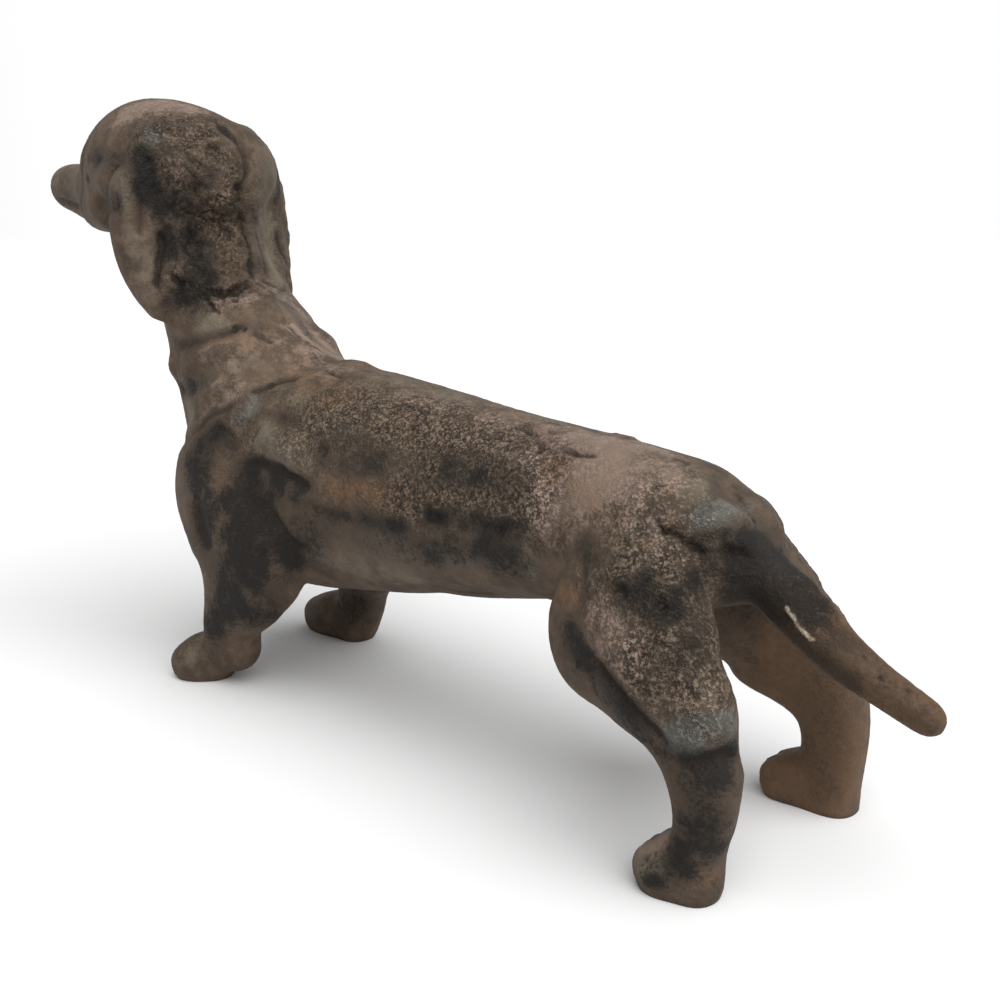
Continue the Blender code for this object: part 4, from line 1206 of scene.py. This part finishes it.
def mask(name):
    """One of the mesh's own masks."""
    return new_node(patina_tree, "Attribute", {}, attribute_name=name).outputs["Fac"]


def sum_of(total, *terms):
    """A constant to start from, plus factor times value for each (factor, value)."""
    for factor, value in terms:
        values = {0: value, 1: factor, 2: total}
        total = new_node(patina_tree, "Math", values, operation="MULTIPLY_ADD").outputs[0]
    return total


def product(first, second):
    """One value times another."""
    return new_node(patina_tree, "Math", {0: first, 1: second}, operation="MULTIPLY").outputs[0]


def stepped(value, low, high, top=1.0):
    """A smooth step from 0 at low to top at high."""
    values = {"Value": value, "From Min": low, "From Max": high, "To Max": top}
    step = new_node(patina_tree, "MapRange", values, interpolation_type="SMOOTHSTEP", clamp=True)
    return step.outputs["Result"]


def linear(red, green, blue):
    """A colour given as seen on a screen, 0 to 255, turned into the linear values a shader needs,
    and opaque."""
    c = np.array([red, green, blue]) / 255
    return (*np.where(c <= 0.04045, c / 12.92, ((c + 0.055) / 1.055) ** 2.4), 1)


def layer(below, colour, amount):
    """Mixes a colour over what lies below it."""
    values = {"Factor": amount, "A": below, "B": colour}
    return new_node(patina_tree, "Mix", values, data_type="RGBA").outputs["Result"]


def sand_grains(scale):
    """1 in the middle of each grain and 0 between grains: cells of 1 / scale metres, whose places
    are pushed about by noise so that no two grains look alike."""
    wobble = new_node(patina_tree, "TexNoise", {"Vector": place, "Scale": 1.1 * scale})
    values = {0: wobble.outputs["Color"], 1: (1.4 / scale,) * 3, 2: place}
    pushed = new_node(patina_tree, "VectorMath", values, operation="MULTIPLY_ADD")
    cells = new_node(patina_tree, "TexVoronoi", {"Scale": scale, "Vector": pushed.outputs[0]})
    return stepped(cells.outputs["Distance"], 0.75, 0.1)


grit = stepped(sum_of(0, (1.1, noise(1100, 3, 0.85)), (0.2, sand_grains(1800))), 0.46, 0.78)
blotch = stepped(noise(330, 4, 0.65), 0.36, 0.64)
cloud = stepped(noise(90, 4, 0.6), 0.36, 0.64)
edge = sum_of(-0.5, (0.6, blotch), (0.4, grit))
print("nodes of the noises:", len(patina_tree.nodes))

# %% Layers of patina
DARK_BROWN, LIGHT_BROWN = linear(68, 57, 47), linear(93, 78, 65)
colour = layer(DARK_BROWN, LIGHT_BROWN, sum_of(0, (0.6, cloud), (0.4, blotch)))
patina = [
    # mask, colour, how ragged, where the edge starts and ends, how thick
    ("coarse", (96, 83, 70), 0.3, 0.10, 0.90, 0.80),
    ("olive", (100, 91, 78), 0.3, 0.10, 0.90, 0.85),
    # rubbed wear, and highlights painted along the top
    ("rubbed_and_highlight", (121, 104, 93), 0.7, 0.10, 0.95, 0.90),
    ("rust", (99, 77, 58), 0.6, 0.10, 1.00, 0.85),
    # worn smooth metal, whose sheen is painted grey
    ("smooth_wear_and_sheen", (86, 84, 78), 0.5, 0.10, 1.00, 0.90),
    # the dark foundry skin, and shade painted in creases and under the belly
    ("dark_skin_and_shade", (27, 25, 23), 1.0, 0.00, 1.20, 0.96),
    # shade painted in hollows and crevices, with dirt and painted shade
    ("hollow_shade_and_dirt", (38, 32, 27), 0.4, 0.15, 0.90, 0.80),
    ("bare", (146, 134, 119), 0.4, 0.20, 0.80, 1.00),
]
for name, tint, ragged, start, end, thick in patina:
    spread = mask(name)
    torn = product(edge, stepped(spread, 0.02, 0.40))
    cover = stepped(sum_of(0, (1.0, spread), (ragged, torn)), start, end, thick)
    colour = layer(colour, linear(*tint), cover)
print("layers of patina:", len(patina))

# %% Light and dark grains
contrast = sum_of(0.18, (1.05, mask("coarse")), (-0.12, mask("olive")), (-0.1, mask("rust")))
speckled = product(sum_of(-0.58, (1.0, grit)), contrast)   # dark pits weigh more than light grains
brightness = sum_of(0.61, (1.0, speckled), (0.22, blotch), (0.5, mask("height")))
grained = new_node(patina_tree, "VectorMath", {0: colour, "Scale": brightness}, operation="SCALE")
print("material nodes:", len(patina_tree.nodes))

# %% Shine, and sand grain as a bump
bump = new_node(patina_tree, "Bump", {
    "Height": sum_of(0, (1.0, speckled), (0.25, blotch)), "Distance": 0.5 * MM, "Strength": 0.8,
})
feed(patina_tree.nodes["Principled BSDF"], {
    "Base Color": grained.outputs[0], "Metallic": 0.15, "Normal": bump.outputs["Normal"],
    "Roughness": sum_of(0.60, (0.10, grit), (0.08, blotch), (-0.24, mask("smooth_wear_and_sheen"))),
    "Specular IOR Level": sum_of(0.18, (0.12, mask("smooth_wear_and_sheen"))),
})
finished.materials.clear()
finished.materials.append(iron)
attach(dog, "root")
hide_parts("dachshund")
print("all nodes of the material:", len(patina_tree.nodes))

# %% [markdown]
# ## The studio
# A plain pale floor, a white room that is dimmer high up and to the left of the camera, and one large
# soft lamp overhead, as in a photograph for a catalogue. The camera stands behind the dog's left side
# and a little above it.

# %% The floor
HALF_FLOOR = 6.0   # metres
corners = [(x * HALF_FLOOR, y * HALF_FLOOR, 0) for x, y in ((-1, -1), (1, -1), (1, 1), (-1, 1))]
floor_mesh = bpy.data.meshes.new("floor")
floor_mesh.from_pydata(corners, [], [(0, 1, 2, 3)])
floor = added("floor", floor_mesh)
paper = bpy.data.materials.new("pale_paper")
paper.use_nodes = True
feed(paper.node_tree.nodes["Principled BSDF"], {
    "Base Color": (0.66, 0.66, 0.66, 1), "Roughness": 0.9, "Specular IOR Level": 0.1,
})
floor_mesh.materials.append(paper)
print("floor of", 2 * HALF_FLOOR, "m")

# %% The room
room = bpy.data.worlds.new("white_room")
room.use_nodes = True
wall = room.node_tree
direction = new_node(wall, "TexCoord", {}).outputs["Generated"]
UP, LEFT_OF_CAMERA = (0, 0, 1), (-0.80, -0.60, 0)


def dimmed(way, low, high, least):
    """Full light until the cosine to this way is low, then a straight fall to the least at high."""
    cosine = new_node(wall, "VectorMath", {0: direction, 1: way}, operation="DOT_PRODUCT")
    values = {"Value": cosine.outputs["Value"], "From Min": low, "From Max": high, "To Max": least}
    return new_node(wall, "MapRange", {**values, "To Min": 1.0}).outputs["Result"]


light = new_node(wall, "Math", {
    0: dimmed(UP, 0.22, 0.6, 0.45), 1: dimmed(LEFT_OF_CAMERA, 0.45, 0.95, 0.6),
}, operation="MULTIPLY")
feed(wall.nodes["Background"], {"Color": (1, 1, 1, 1), "Strength": light.outputs[0]})
bpy.context.scene.world = room
print("room nodes:", len(wall.nodes))

# %% The lamp
LAMP_STRENGTH, LAMP_SPREAD = 4.1, 70   # watts per square metre, and degrees of softness
TO_THE_LEFT, TO_THE_TAIL = 8, 28       # degrees from straight overhead
lamp = bpy.data.lights.new("ceiling_softbox", "SUN")
lamp.energy, lamp.angle = LAMP_STRENGTH, np.radians(LAMP_SPREAD)
softbox = added("ceiling_softbox", lamp)
softbox.location = (0.3, -0.1, 0.8)
softbox.rotation_euler = (np.radians(TO_THE_LEFT), np.radians(TO_THE_TAIL), 0)
print("lamp:", lamp.energy)

# %% Camera
LENS_MM, SENSOR_MM = 41.65, 36.0
LOOKS_DOWN, TURNED = 13.5, 42.9   # degrees below level, and degrees from +y towards the nose
lens = bpy.data.cameras.new("catalogue_view")
lens.sensor_width, lens.lens, lens.clip_start = SENSOR_MM, LENS_MM, 0.01
camera = added("catalogue_view", lens)
camera.location = (0.1628, -0.140, 0.090)
camera.rotation_euler = (np.radians(90 - LOOKS_DOWN), 0, np.radians(TURNED))
bpy.context.scene.camera = camera
bpy.context.scene.view_settings.view_transform = "Standard"
print("camera at", [round(v, 3) for v in camera.location], "m, lens", lens.lens, "mm")
